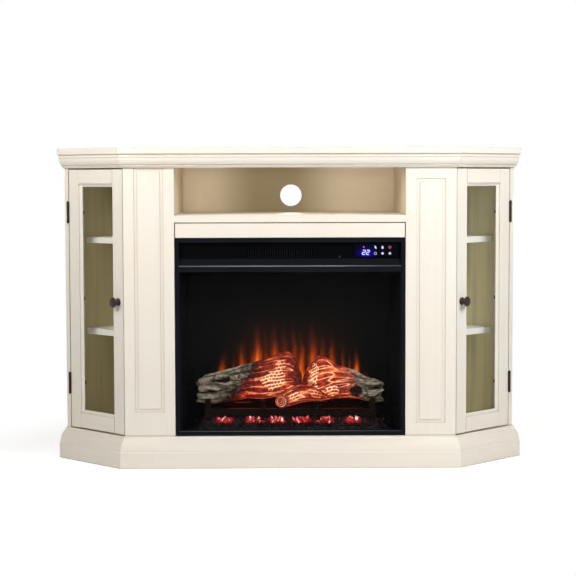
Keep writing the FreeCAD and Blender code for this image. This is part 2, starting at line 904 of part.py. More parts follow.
def ball(side, height):
    item = doc.addObject("Part::Sphere", "Tip")
    bind(item, "Radius", "hinge_tip_radius")
    bind(item, "Placement.Base.x", f"{side} * hinge_s")
    bind(item, "Placement.Base.y", "-hinge_pin_out")
    bind(item, "Placement.Base.z", height)
    return item


def fixed_hinge(side, centre):
    """Leaf on the side panel, the outer two knuckles, and the pin with its ball tips."""
    half, middle = "hinge_length / 2", "hinge_length * hinge_middle_share / 2"
    near, far = "wing_length - side_thick - hinge_leaf_thick", "wing_length - side_thick"
    clear = "hinge_pin_play + hinge_end_play"
    members = [
        plate(near, far, clear, "hinge_leaf_reach", f"{centre} - {half}", f"{centre} + {half}", side),
        knuckle("hinge_pin_radius", f"{centre} - {half}", f"{centre} + {half}", side),
    ]
    for low, high in ((f"{centre} - {half}", f"{centre} - {middle} - hinge_end_play"),
                      (f"{centre} + {middle} + hinge_end_play", f"{centre} + {half}")):
        members.append(knuckle("hinge_knuckle_radius", low, high, side))
        members.append(plate(near, far, "-hinge_pin_out", clear, low, high, side))
    members += [ball(side, f"{centre} - {half}"), ball(side, f"{centre} + {half}")]
    return fuse(members)


def moving_hinge(side, centre):
    """Leaf on the hinge stile's edge and the middle knuckle, bored for the pin."""
    half, middle = "hinge_length / 2", "hinge_length * hinge_middle_share / 2"
    near, far = "door_far", "door_far + hinge_leaf_thick"
    clear = "hinge_pin_play + hinge_end_play"
    low, high = f"{centre} - {middle}", f"{centre} + {middle}"
    solid = fuse([
        plate(near, far, clear, "hinge_leaf_reach", f"{centre} - {half}", f"{centre} + {half}", side),
        plate(near, far, "-hinge_pin_out", clear, low, high, side),
        knuckle("hinge_knuckle_radius", low, high, side),
    ])
    bored = doc.addObject("Part::Cut", "Bored")
    bored.Base = solid
    bored.Tool = knuckle("hinge_pin_radius + hinge_pin_play", f"{low} - overrun", f"{high} + overrun", side)
    return bored


def hinges():
    fixed = []
    for name, side in SIDES.items():
        pair = group("HingePair", [fixed_hinge(side, centre) for centre in ("hinge_high", "hinge_low")])
        fixed.append(on_wing(pair, side))
        moving = [moving_hinge(side, centre) for centre in ("hinge_high", "hinge_low")]
        leaves = group(f"hinge_leaves_{name}", moving)
        keep(on_wing(leaves, side))
    keep(group("hinge_frames", fixed))


def doors():
    for name, side in SIDES.items():
        keep(stile(f"latch_stile_{name}", "door_gap", "pane_near", side))
        keep(stile(f"hinge_stile_{name}", "pane_far", "door_far", side))
        keep(rail(f"top_rail_{name}", "pane_top", "door_top", side))
        keep(rail(f"bottom_rail_{name}", "door_bottom", "pane_bottom", side))
        keep(glass_bead(f"glass_bead_{name}", side))
        keep(door_glass(f"door_glass_{name}", side))
        keep(knob(f"knob_{name}", side))
    hinges()
    catches = []
    for side in SIDES.values():
        body = new_body("Catch")
        back = "door_thick + catch_play"
        along = rectangle("door_gap + stile_wide / 4", "door_gap + stile_wide / 4 + catch_long",
                          back, f"{back} + catch_deep")
        pad(body, [mirrored(along, side)], "catch_tall", start="plinth_height")
        catches.append(on_wing(body, side))
    keep(group("door_catches", catches))


# Side cabinets

def side_shelves():
    """Two shelves in each wing, cut to the plan behind the door, on four pins each."""
    setback, play = "door_thick + shelf_setback", "shelf_play"
    front_y = f"pilaster_thick + {play}"
    plan = [
        (f"divider_face + {play}", front_y),
        (f"front_half + ({front_y} - ({setback}) / cos(wing_angle)) / tan(wing_angle)", front_y),
        wing_point(f"wing_length - side_thick - {play}", setback),
        (side_x(f"back_face - {play}", f"side_thick + {play}"), f"back_face - {play}"),
        (f"divider_face + {play}", f"back_face - {play}"),
    ]
    shelves, pins = [], []
    for side in SIDES.values():
        for top in ("shelf_top_high", "shelf_top_low"):
            shelves.append(board("Shelf", mirrored(plan, side), f"{top} - shelf_thick", top))
            pins += shelf_pins(side, f"{top} - shelf_thick - pin_radius")
    keep(group("side_shelves", shelves))
    keep(group("shelf_pins", pins))


def shelf_pins(side, height):
    """Four round pins under one shelf: two stand out of the divider and two out of the side panel."""
    pins = []
    for y in ("pilaster_thick + pin_from_front", "back_face - pin_from_back"):
        pin = new_body("Pin")
        start = "divider_face" if side > 0 else "-(divider_face + pin_reach)"
        pad(pin, [], "pin_reach", "YZ_Plane", start, circles=[(y, height, "pin_radius")])
        pins.append(on_front(pin))
    reach = "wing_length - side_thick - pin_reach"
    shelf_front = "door_thick + shelf_setback"
    for inward in (f"{shelf_front} + pin_from_front", f"{shelf_front} + pin_from_front * 3"):
        pin = new_body("Pin")
        start = reach if side > 0 else "-(wing_length - side_thick)"
        pad(pin, [], "pin_reach", "YZ_Plane", start, circles=[(inward, height, "pin_radius")])
        pins.append(on_wing(pin, side))
    return pins


# Firebox insert

def trim_frame():
    """Black surround: one window for the fire and one for the controls, with sloping reveals."""
    body = new_body("trim_frame")
    pad(body, [rectangle("-insert_half", "insert_half", "insert_bottom", "insert_top")],
        "trim_deep", "XZ_Plane", "insert_setback")
    mouth, throat = (rectangle(f"-(window_half - {inset})", f"window_half - {inset}",
                               f"window_bottom + {inset}", f"window_top - {inset}")
                     for inset in (0, "trim_bevel"))
    sloped_cut(body, mouth, "insert_setback", throat, "trim_back")
    control = rectangle("-window_half", "window_half", "ledge_top", "fascia_top")
    cut(body, [control], "XZ_Plane")
    keep(on_front(body))


def control_fascia():
    """Folded sheet behind the upper window: a sloping band below a recessed face with the outlet."""
    body = new_body("control_fascia")
    front, deep, skin = "insert_setback + fascia_sheet", "fascia_depth", "fascia_sheet"
    low, high = "ledge_top + fascia_play", "fascia_top - fascia_play"
    fold = [
        (front, low), (f"{front} + {skin}", low), (f"{deep} + {skin}", "fascia_slope_top"),
        (f"{deep} + {skin}", high), (deep, high), (deep, "fascia_slope_top"),
    ]
    half = "window_half - fascia_play"
    pad(body, [fold], f"2 * ({half})", "YZ_Plane", f"-({half})")
    outlet = rectangle("vent_left", "vent_left + vent_wide", "vent_bottom", "vent_bottom + vent_tall")
    cut(body, [outlet], "XZ_Plane")
    keep(on_front(body))


def outlet_grille():
    """Comb of upright slots behind the outlet, made by one slot and a straight pattern."""
    body = new_body("outlet_grille")
    margin = "grille_margin"
    left, right = f"vent_left - {margin}", f"vent_left + vent_wide + {margin}"
    pad(body, [rectangle(left, right, f"vent_bottom - {margin}", f"vent_bottom + vent_tall + {margin}")],
        "grille_thick", "XZ_Plane", "fascia_depth + fascia_sheet")
    pitch = "(vent_wide / grille_slots)"
    first = rectangle(
        f"vent_left + ({pitch} - grille_slot_wide) / 2", f"vent_left + ({pitch} + grille_slot_wide) / 2",
        "vent_bottom", "vent_bottom + vent_tall")
    slot = cut(body, [first], "XZ_Plane")
    row = body.newObject("PartDesign::LinearPattern", "Slots")
    row.Originals = [slot]
    row.Direction = (plane_of(body, "X_Axis"), [""])
    bind(row, "Length", "vent_wide * (grille_slots - 1) / grille_slots")
    bind(row, "Occurrences", "grille_slots")
    body.Tip = row
    keep(on_front(body))


def casing():
    """Sheet steel box behind the trim, with a deck between the fire chamber and the heater."""
    body = new_body("firebox_casing")
    pad(body, [rectangle("-casing_half", "casing_half", "plinth_height", "casing_top")],
        "casing_depth - trim_back", "XZ_Plane", "trim_back")
    half = "casing_inside"
    for low, high in (("chamber_floor", "deck_height"), ("deck_top", "casing_top - sheet")):
        cut(body, [rectangle(f"-{half}", half, low, high)], "XZ_Plane", "trim_back",
            "casing_depth - trim_back - sheet")
    # Two upright tabs on the chamber floor carry the flame spindle
    for start in ("-(spindle_half - sheet)", "spindle_half - sheet * 2"):
        tab = rectangle("spindle_y - bracket_half_wide", "spindle_y + bracket_half_wide",
                        "chamber_floor", "spindle_z + bracket_head")
        pad(body, [tab], "sheet", "YZ_Plane", start,
            circles=[("spindle_y", "spindle_z", "spindle_radius + spindle_play")])
    keep(on_front(body))


def chamber_liner():
    """Slanted chamber sides on a thin floor, narrowing towards the flame screen."""
    body = new_body("chamber_liner")
    front = "trim_back + front_glass_thick + insert_lift"
    floor = both_sides([("liner_front_half", front), ("liner_back_half", "screen_depth")])
    pad(body, [floor], "sheet", start="chamber_floor")
    walls = []
    for side in SIDES.values():
        walls.append(mirrored([
            ("liner_front_half", front), ("liner_back_half", "screen_depth"),
            ("liner_back_half - sheet", "screen_depth"), ("liner_front_half - sheet", front),
        ], side))
    pad(body, walls, "deck_height - liner_floor", start="liner_floor")
    keep(on_front(body))


def chamber_back_and_glass():
    glass = (("-front_glass_half", "front_glass_half"), ("trim_back", "trim_back + front_glass_thick"),
             ("window_bottom - front_glass_lap", "deck_height - glass_play"))
    keep(block("front_glass", *glass))
    keep(block("flame_screen", ("-liner_back_half", "liner_back_half"), ("screen_depth", "screen_back"),
               ("chamber_floor", "deck_height")))
    keep(block("control_panel", ("panel_left", "panel_left + panel_wide"),
               ("fascia_depth - panel_thick", "fascia_depth"), ("panel_bottom", "panel_bottom + panel_tall")))


def ember_bed():
    """Coal tray with sloping ends and front, hollow for the light board below it."""
    body = new_body("ember_bed")
    front_view = both_sides([("ember_foot_half", "liner_floor"), ("ember_top_half", "ember_top")])
    pad(body, [front_view], "ember_back - ember_front", "XZ_Plane", "ember_front")
    slope = [
        ("ember_front - overrun", "liner_floor + ember_wall"),
        ("ember_front", "liner_floor + ember_wall"),
        ("ember_front_top", "ember_top"),
        ("ember_front_top", "ember_top + overrun"),
        ("ember_front - overrun", "ember_top + overrun"),
    ]
    cut(body, [slope], "YZ_Plane")
    hollow = rectangle("-(ember_top_half - ember_wall)", "ember_top_half - ember_wall",
                       "ember_front_top + ember_wall", "ember_back - ember_wall")
    cut(body, [hollow], "XY_Plane", "liner_floor", "ember_top - liner_floor - ember_wall")
    keep(on_front(body))


# The grate's posts: where each stands, how high its seat is, and how high its front stands
GRATE_POSTS = (
    ("-grate_post_outer", "grate_seat", "outer_post_top"),
    ("-grate_post_inner", "inner_seat", "inner_post_top"),
    ("grate_post_inner", "inner_seat", "inner_post_top"),
    ("grate_post_outer", "grate_seat", "outer_post_top"),
)


def log_grate():
    """Front bar with four posts, each with a seat bar that runs back under the logs."""
    body = new_body("log_grate")
    front, thick = "grate_bar_front", "grate_bar_thick"
    pad(body, [rectangle("-grate_half", "grate_half", "grate_bar_bottom", "grate_bar_top")],
        thick, "XZ_Plane", front)
    for place, seat_top, front_top in GRATE_POSTS:
        left = f"{place} - grate_post_wide / 2"
        seat = f"{seat_top} - grate_seat_thick"
        post = [
            (front, "ember_top"), (f"{front} + {thick} * 2", "ember_top"), (f"{front} + {thick} * 2", seat),
            ("grate_seat_back", seat), ("grate_seat_back", "ember_top"),
            ("grate_seat_back + grate_seat_thick", "ember_top"),
            ("grate_seat_back + grate_seat_thick", seat_top), (f"{front} + {thick}", seat_top),
            (f"{front} + {thick}", front_top), (front, front_top),
        ]
        pad(body, [post], "grate_post_wide", "YZ_Plane", left)
    keep(on_front(body))


# Logs: the limits of each log's box, then stations along it as shares of that box

BIG_LOG_BOX = ("log_front", "log_back", "log_low", "log_high")
SMALL_LOG_BOX = ("small_log_front", "small_log_back", "small_log_low", "small_log_high")
# A station is its place along the log, its centre across and up, and its half sizes across and up
LOG_SHARES = {
    "left_log": (("-log_end", "left_log_right", *BIG_LOG_BOX), (
        (0.00, 0.46, 0.31, 0.36, 0.235), (0.15, 0.49, 0.315, 0.42, 0.285), (0.32, 0.48, 0.38, 0.44, 0.305),
        (0.48, 0.48, 0.45, 0.45, 0.315), (0.63, 0.50, 0.48, 0.47, 0.365), (0.78, 0.51, 0.555, 0.47, 0.40),
        (0.88, 0.52, 0.58, 0.46, 0.41), (0.94, 0.53, 0.52, 0.42, 0.345), (1.00, 0.54, 0.38, 0.30, 0.17))),
    "right_log": (("right_log_left", "log_end", *BIG_LOG_BOX), (
        (0.00, 0.54, 0.33, 0.28, 0.165), (0.06, 0.54, 0.425, 0.38, 0.30), (0.12, 0.53, 0.49, 0.44, 0.375),
        (0.19, 0.52, 0.51, 0.46, 0.41), (0.28, 0.51, 0.495, 0.46, 0.395), (0.44, 0.50, 0.43, 0.45, 0.30),
        (0.65, 0.49, 0.385, 0.42, 0.26), (0.77, 0.48, 0.30, 0.40, 0.225), (0.88, 0.47, 0.26, 0.37, 0.225),
        (1.00, 0.46, 0.255, 0.32, 0.185))),
    "front_log": (("small_log_left", "small_log_right", *SMALL_LOG_BOX), (
        (0.00, 0.46, 0.33, 0.44, 0.30), (0.13, 0.48, 0.40, 0.46, 0.365), (0.31, 0.48, 0.53, 0.46, 0.39),
        (0.46, 0.48, 0.61, 0.46, 0.375), (0.68, 0.50, 0.61, 0.44, 0.31), (0.86, 0.52, 0.515, 0.38, 0.22),
        (1.00, 0.54, 0.42, 0.24, 0.08))),
}
# Bark swells the round form by these shares, so many times round it
BARK_LOBE_SHARES = ((3, 0.035), (5, 0.02))
RING_POINTS = 18


def bark_ring(centre, half_across, half_up, twist):
    """A closed, lobed ring of flats across the log."""
    points = []
    for index in range(RING_POINTS):
        angle = 2 * math.pi * index / RING_POINTS
        swell = 1 + sum(share * math.sin(times * angle + twist) for times, share in BARK_LOBE_SHARES)
        across, up = half_across * swell * math.cos(angle), half_up * swell * math.sin(angle)
        points.append(centre + Vector(0, across, up))
    return Part.makePolygon(points + points[:1])


def resin_log(label, limits, stations):
    """A log laid along X through its rings, notched where it lies on the grate's seats."""
    left, right, front, back, low, high = (size(limit) for limit in limits)
    rings = []
    for along, across, up, half_across, half_up in stations:
        centre = Vector(
            left + (right - left) * along, front + (back - front) * across, low + (high - low) * up)
        rings.append(bark_ring(centre, (back - front) * half_across, (high - low) * half_up, along * math.pi))
    form = Part.makeLoft(rings, True, True)
    wide = size("grate_post_wide + 2 * log_rest_gap")
    for place, seat_top, _ in GRATE_POSTS:
        notch = Part.makeBox(wide, 2 * (back - front), size(f"{seat_top} + log_rest_gap - ember_top"))
        notch.translate(Vector(size(place) - wide / 2, front - (back - front) / 2, size("ember_top")))
        form = form.cut(notch)
    item = doc.addObject("Part::Feature", label)
    item.Label = label
    item.Shape = form
    return on_front(item)


def logs():
    for label, (limits, stations) in LOG_SHARES.items():
        keep(resin_log(label, limits, stations))


# Flame drive, behind the screen

def flame_drive():
    spindle = new_body("flame_spindle")
    pad(spindle, [], "spindle_half * 2", "YZ_Plane", "-spindle_half", circles=[(0, 0, "spindle_radius")])
    clear = "spindle_half - bracket_head"
    pitch = f"(2 * ({clear}) - vane_long) / (vane_count - 1)"
    for index in range(SIZES["vane_count"]):
        angle = f"vane_turn * {index}"
        across, up = f"cos({angle})", f"sin({angle})"
        half = "vane_thick / 2"
        reach = "vane_reach"
        vane = [
            (f"{a} * {reach} * {across} - {b} * {half} * {up}",
             f"{a} * {reach} * {up} + {b} * {half} * {across}")
            for a, b in ((1, -1), (1, 1), (-1, 1), (-1, -1))]
        pad(spindle, [vane], "vane_long", "YZ_Plane", f"-({clear}) + {index} * ({pitch})")
    bind(spindle, "Placement.Base.y", "front_y + spindle_y")
    bind(spindle, "Placement.Base.z", "spindle_z")
    keep(spindle)

    motor = new_body("spindle_motor")
    pad(motor, [], "motor_thick", "YZ_Plane", "spindle_half + sheet / 2",
        circles=[("spindle_y", "spindle_z - motor_radius / 2", "motor_radius")])
    keep(on_front(motor))


def circuit_boards():
    """Light board for the flames, light board for the embers, and the power board on the deck."""
    top = "liner_floor + board_sheet"
    middle = "(ember_front_top + ember_back) / 2"
    flame = block("FlameBoard", ("-flame_board_half", "flame_board_half"),
                  ("flame_board_front", "flame_board_front + flame_board_deep"),
                  ("chamber_floor", "chamber_floor + board_sheet"))
    ember = block("EmberBoard", ("-flame_board_half", "flame_board_half"),
                  (f"{middle} - ember_board_deep / 2", f"{middle} + ember_board_deep / 2"),
                  ("liner_floor", top))
    power_left = "duct_right + blower_motor_long + power_board_gap"
    power = block("PowerBoard", (power_left, "casing_inside - power_board_inset"),
                  ("power_board_front", "power_board_front + power_board_deep"),
                  ("deck_top", "deck_top + board_sheet"))
    keep(group("circuit_boards", [flame, ember, power]))


# Heater, above the deck

def heater():
    duct = new_body("heater_duct")
    front = "duct_front"
    walls = rectangle("duct_left", "duct_right", front, "duct_back")
    pad(duct, [walls], "duct_top - deck_top", start="deck_top")
    cut(duct, [rectangle("duct_left + sheet", "duct_right - sheet", "duct_bottom", "duct_top - sheet")],
        "XZ_Plane", front, f"duct_back - ({front}) - sheet")
    cut(duct, [], "YZ_Plane", circles=[("wheel_y", "wheel_z", "wheel_shaft + spindle_play")])
    keep(on_front(duct))

    element = new_body("heating_element")
    left, right = "duct_left + sheet", "duct_right - sheet"
    low, high = "duct_bottom", "duct_top - sheet"
    rim = "element_rim"
    pad(element, [rectangle(left, right, low, high),
                  rectangle(f"{left} + {rim}", f"{right} - {rim}", f"{low} + {rim}", f"{high} - {rim}")],
        "element_deep", "XZ_Plane", "element_y")
    step = f"(({right}) - ({left}) - 2 * {rim}) / (element_bars + 1)"
    for index in range(1, SIZES["element_bars"] + 1):
        middle = f"({left}) + {rim} + {index} * {step}"
        pad(element, [rectangle(f"{middle} - element_bar_wide / 2", f"{middle} + element_bar_wide / 2",
                                f"{low} + {rim} / 2", f"{high} - {rim} / 2")],
            "element_deep / 2", "XZ_Plane", "element_y + element_deep / 4")
    keep(on_front(element))

    keep(blower_wheel())
    motor = new_body("blower_motor")
    shaft_bore = ("wheel_y", "wheel_z", "wheel_shaft + spindle_play")
    pad(motor, [], "blower_motor_long", "YZ_Plane", "duct_right",
        circles=[("wheel_y", "wheel_z", "blower_motor_radius"), shaft_bore])
    keep(on_front(motor))


def blower_wheel():
    """Cross-flow wheel: three discs on a shaft, with curved blades between their rims."""
    body = new_body("blower_wheel")
    left, right = "duct_left + sheet + wheel_gap", "duct_right - sheet - wheel_gap"
    wheel, inner = "wheel_radius", "wheel_radius - wheel_blade_deep"
    shaft_end = "duct_right + blower_motor_long / 2"
    pad(body, [], f"({shaft_end}) - duct_left", "YZ_Plane", "duct_left", circles=[(0, 0, "wheel_shaft")])
    middle = f"(({left}) + ({right}) - wheel_disc) / 2"
    for start in (left, middle, f"{right} - wheel_disc"):
        pad(body, [], "wheel_disc", "YZ_Plane", start, circles=[(0, 0, wheel)])
    # One blade: two arcs between the rim and the inner circle, then a polar pattern of it
    thick, bend, curve = "wheel_blade_thick", "wheel_blade_deep", "wheel_blade_curve"
    blade = [
        (inner, 0), (wheel, f"{bend} / 2", curve, 1),
        (f"{wheel} - {thick}", f"{bend} / 2 + {thick}"), (inner, thick, curve, -1),
    ]
    vane = pad(body, [blade], f"({right}) - ({left})", "YZ_Plane", left)
    ring = body.newObject("PartDesign::PolarPattern", "Blades")
    ring.Originals = [vane]
    ring.Axis = (plane_of(body, "X_Axis"), [""])
    ring.Angle = 360
    bind(ring, "Occurrences", "wheel_blades")
    body.Tip = ring
    bind(body, "Placement.Base.y", "front_y + wheel_y")
    bind(body, "Placement.Base.z", "wheel_z")
    return body


def cord_gland():
    """Gland on the casing's back, turned with a flange and a bore for the lead."""
    body = new_body("cord_gland")
    pad(body, [], "gland_reach / 4", "XZ_Plane", "casing_depth",
        circles=[("gland_x", "gland_z", "gland_flange"), ("gland_x", "gland_z", "gland_bore")])
    pad(body, [], "gland_reach", "XZ_Plane", "casing_depth",
        circles=[("gland_x", "gland_z", "gland_radius"), ("gland_x", "gland_z", "gland_bore")])
    keep(on_front(body))


def insert():
    trim_frame()
    control_fascia()
    outlet_grille()
    casing()
    chamber_liner()
    chamber_back_and_glass()
    ember_bed()
    log_grate()
    logs()
    flame_drive()
    circuit_boards()
    heater()
    cord_gland()


def check_everything():
    for item in doc.Objects:
        if "Invalid" in item.State or "Error" in item.State:
            raise RuntimeError(f"{item.Label} ({item.Name}) is {item.State}")
    for item in KEPT:
        if item.Shape.isNull() or not item.Shape.isValid():
            raise RuntimeError(f"{item.Label} has no valid shape")


def write_parts():
    os.makedirs("parts", exist_ok=True)
    for item in KEPT:
        item.Shape.exportStep(f"parts/{item.Label}.step")


carcass()
headers()
base_rails()
pilasters()
mouldings()
doors()
side_shelves()
insert()
doc.recompute()
check_everything()
write_parts()
print(len(KEPT), "pieces,", sum(len(item.Shape.Solids) for item in KEPT), "solids")
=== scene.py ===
import json
import math
import random

import bmesh
import bpy
from mathutils import Matrix, Vector, noise


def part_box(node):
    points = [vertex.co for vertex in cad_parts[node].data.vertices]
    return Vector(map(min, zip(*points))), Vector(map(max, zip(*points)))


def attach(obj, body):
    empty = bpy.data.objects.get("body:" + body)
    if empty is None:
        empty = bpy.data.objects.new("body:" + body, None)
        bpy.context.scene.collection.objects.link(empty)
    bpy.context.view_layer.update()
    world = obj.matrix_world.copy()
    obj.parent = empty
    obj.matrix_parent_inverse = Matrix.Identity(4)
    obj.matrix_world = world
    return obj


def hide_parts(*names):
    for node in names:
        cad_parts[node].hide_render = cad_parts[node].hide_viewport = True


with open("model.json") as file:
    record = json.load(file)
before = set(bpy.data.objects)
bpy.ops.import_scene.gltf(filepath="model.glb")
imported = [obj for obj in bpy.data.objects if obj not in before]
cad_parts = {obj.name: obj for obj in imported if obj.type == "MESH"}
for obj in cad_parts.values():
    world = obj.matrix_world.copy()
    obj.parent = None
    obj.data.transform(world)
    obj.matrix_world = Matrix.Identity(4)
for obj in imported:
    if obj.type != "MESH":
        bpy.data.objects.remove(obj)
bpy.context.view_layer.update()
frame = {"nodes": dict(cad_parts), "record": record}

# Dressing of the corner cabinet: paint, glass, bronze, the fire chamber with its logs, embers and flames.
# Metres throughout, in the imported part's own frame: +X right, +Y back, +Z up, the floor at z = 0.

NODES = frame["nodes"]
MM = 0.001
SIDES = {"left": -1, "right": 1}
WHITE, BLACK = (1, 1, 1), (0, 0, 0)


# Camera, from the corners that were measured in the photograph. Its width and focal length are in pixels

CAMERA_AT = (-0.0334, -4.2411, 0.7391)
CAMERA_YAW, CAMERA_PITCH, CAMERA_ROLL = -0.0069, -0.0686, -0.0025
PHOTO_WIDE, PHOTO_FOCAL = 576, 1590.4
SENSOR = 36


def in_scene(name, data):
    item = bpy.data.objects.new(name, data)
    bpy.context.scene.collection.objects.link(item)
    return item


def camera_axes():
    """The camera's right, forward and up directions."""
    yaw, pitch = Matrix.Rotation(-CAMERA_YAW, 3, "Z"), Matrix.Rotation(-CAMERA_PITCH, 3, "X")
    return Matrix.Rotation(CAMERA_ROLL, 3, "Y") @ pitch @ yaw


def add_camera():
    right, forward, up = camera_axes()
    data = bpy.data.cameras.new("camera")
    data.sensor_width = SENSOR
    data.lens = PHOTO_FOCAL / PHOTO_WIDE * SENSOR
    turn = Matrix((right, up, -forward)).transposed().to_4x4()
    camera = in_scene("camera", data)
    camera.matrix_world = Matrix.Translation(CAMERA_AT) @ turn
    bpy.context.scene.camera = camera


# Node helpers

NOISE_LOW, NOISE_HIGH = 0.3, 0.7
CREVICE_SAMPLES, BEVEL_SAMPLES = 8, 4
EDGE_FULL, EDGE_NONE = 0.90, 0.995


class Shader:
    """A material or world in the making: nodes are added with their inputs given by name or number."""

    def __init__(self, name, owner=bpy.types.Material):
        self.owner = (bpy.data.materials if owner is bpy.types.Material else bpy.data.worlds).new(name)
        self.owner.use_nodes = True
        self.tree = self.owner.node_tree
        self.tree.nodes.clear()
        self.output = self.tree.nodes.new(f"ShaderNodeOutput{owner.__name__}")

    def node(self, kind, inputs=None, **settings):
        item = self.tree.nodes.new(f"ShaderNode{kind}")
        for key, value in settings.items():
            setattr(item, key, value)
        for key, value in (inputs or {}).items():
            self.feed(item.inputs[key], value)
        return item

    def feed(self, socket, value):
        if isinstance(value, bpy.types.NodeSocket):
            self.tree.links.new(value, socket)
        elif isinstance(value, bpy.types.Node):
            self.tree.links.new(value.outputs[0], socket)
        elif socket.type == "RGBA":
            socket.default_value = (*value, 1)
        else:
            socket.default_value = value

    def surface(self, item):
        self.tree.links.new(item.outputs[0], self.output.inputs["Surface"])
        return self.owner

    def math(self, operation, *values, clamp=False):
        item = self.node("Math", operation=operation, use_clamp=clamp)
        for index, value in enumerate(values):
            self.feed(item.inputs[index], value)
        return item.outputs[0]

    def times(self, *values):
        """The product of two or more values."""
        product = values[0]
        for value in values[1:]:
            product = self.math("MULTIPLY", product, value)
        return product

    def mix(self, factor, first, second, blend="MIX"):
        item = self.node("Mix", data_type="RGBA", blend_type=blend)
        self.feed(item.inputs["Factor"], factor)
        self.feed(item.inputs[6], first)
        self.feed(item.inputs[7], second)
        return item.outputs[2]

    def ramp(self, factor, *stops):
        """A colour ramp; a stop is (place, (r, g, b))."""
        item = self.node("ValToRGB")
        elements = item.color_ramp.elements
        while len(elements) < len(stops):
            elements.new(0.5)
        for element, (place, colour) in zip(elements, stops):
            element.position = place
            element.color = (*colour, 1)
        self.feed(item.inputs[0], factor)
        return item.outputs[0]

    def span(self, value, low, high, out_low=0.0, out_high=1.0, smooth=True):
        """The value's range from low to high, laid over the one from out_low to out_high."""
        limits = {"From Min": low, "From Max": high, "To Min": out_low, "To Max": out_high}
        item = self.node("MapRange", limits, interpolation_type="SMOOTHSTEP" if smooth else "LINEAR")
        self.feed(item.inputs["Value"], value)
        return item.outputs[0]

    def vary(self, value, out_low=0.0, out_high=1.0):
        """The usual range of a noise, laid over the one from out_low to out_high."""
        return self.span(value, NOISE_LOW, NOISE_HIGH, out_low, out_high)

    def place(self, stretch=(1, 1, 1)):
        """Object coordinates, which are the part's own frame in metres."""
        coords = self.node("TexCoord")
        return self.node("Mapping", {"Vector": coords.outputs["Object"], "Scale": stretch}).outputs[0]

    def axis(self, name):
        return self.node("SeparateXYZ", {0: self.place()}).outputs[name]

    def attribute(self, name):
        return self.node("Attribute", attribute_name=name).outputs["Fac"]

    def facing(self):
        return self.node("NewGeometry").outputs["Normal"]

    def noise(self, scale, detail=3.0, roughness=0.55, stretch=(1, 1, 1)):
        """Noise with scale cells per metre."""
        item = self.node("TexNoise", {"Vector": self.place(stretch), "Scale": scale, "Detail": detail,
                                      "Roughness": roughness})
        return item.outputs[0]

    def crevice(self, reach, low, high):
        """1 in a gap or groove as wide as reach, 0 on an open face."""
        item = self.node("AmbientOcclusion", {"Distance": reach}, samples=CREVICE_SAMPLES)
        return self.span(item.outputs["AO"], low, high, 1.0, 0.0)

    def rounded(self, radius):
        return self.node("Bevel", {"Radius": radius}, samples=BEVEL_SAMPLES).outputs[0]

    def bump(self, height, strength, distance, edge=None):
        """Fine relief, over edges that look rounded to the radius edge."""
        item = self.node("Bump", {"Height": height, "Strength": strength, "Distance": distance})
        if edge:
            self.feed(item.inputs["Normal"], self.rounded(edge))
        return item.outputs[0]

    def soil(self, tone, colour, share, reach, low, high):
        """The tone, darkened to colour in gaps and corners: painted shade, which on the ivory paint also
        carries its brown glaze.
        """
        return self.mix(self.times(self.crevice(reach, low, high), share), tone, colour)

    def seen(self):
        """1 for what the camera sees, also in glass and gloss, and 0 for light on its way elsewhere."""
        rays = self.node("LightPath").outputs
        direct = self.math("MAXIMUM", rays["Is Camera Ray"], rays["Is Glossy Ray"])
        return self.math("MAXIMUM", direct, rays["Is Transmission Ray"])

    def edge(self, radius):
        """1 along an outer or inner edge, 0 on a flat face."""
        even = self.node("VectorMath", {0: self.rounded(radius), 1: self.facing()}, operation="DOT_PRODUCT")
        return self.span(even.outputs["Value"], EDGE_FULL, EDGE_NONE, 1.0, 0.0)

    def away(self, value, middle):
        """The distance between two values."""
        return self.math("ABSOLUTE", self.math("SUBTRACT", value, middle))

    def coat(self, colour, roughness, specular=0.5, normal=None, glow=None, metallic=0.0):
        """The finished surface; glow is the colour of its own light."""
        inputs = {"Base Color": colour, "Roughness": roughness, "Specular IOR Level": specular,
                  "Metallic": metallic}
        if normal:
            inputs["Normal"] = normal
        if glow:
            inputs.update({"Emission Color": glow, "Emission Strength": 1.0})
        return self.surface(self.node("BsdfPrincipled", inputs))


# Painted wood: antique ivory outside, thin tan paint inside

IVORY, IVORY_WARM = (0.89, 0.85, 0.765), (0.90, 0.835, 0.73)
BRUSH_MARK, BROAD_SHADE = (0.70, 0.60, 0.46), (0.55, 0.44, 0.30)
GLAZE, GLAZE_DEEP = (0.27, 0.18, 0.115), (0.11, 0.075, 0.052)
EDGE_WARM = (0.93, 0.79, 0.66)
BRUSH_SHARE, EDGE_SHARE, BROAD_SHARE, GLAZE_SHARE = 0.10, 0.45, 0.10, 0.75
WORN_EDGE, BROAD_REACH, GLAZE_REACH, DEEP_REACH = 2.2 * MM, 50 * MM, 7 * MM, 12 * MM
# Inside tan, and the paler tan it turns to toward the right, which is painted light
INSIDE_TAN, INSIDE_PALE = (0.66, 0.565, 0.31), (0.86, 0.79, 0.51)
# Tan streaks along the grain, and the painted shade in inside corners
TAN_STREAK, TAN_CORNER_SHADE = (0.36, 0.32, 0.19), (0.33, 0.25, 0.15)
TAN_LIGHT_SPAN, CORNER_REACH, CORNER_SHARE = 200 * MM, 20 * MM, 0.2
# Brown painted shade in the middle of the bay's back, paling toward its ends as painted light; places in
# millimetres
BAY_MIDDLE_SHADE, BAY_CLOUD = (0.39, 0.305, 0.165), (0.45, 0.42, 0.26)
BAY_TAN, DIVIDER_TAN = (0.98, 0.84, 0.62), (0.74, 0.61, 0.445)
BAY_DARKEST, BAY_DARK, BAY_PALE = -40 * MM, 40 * MM, 215 * MM
SHELF_WHITE, SHELF_GREY = (0.98, 0.98, 0.93), (0.84, 0.84, 0.74)
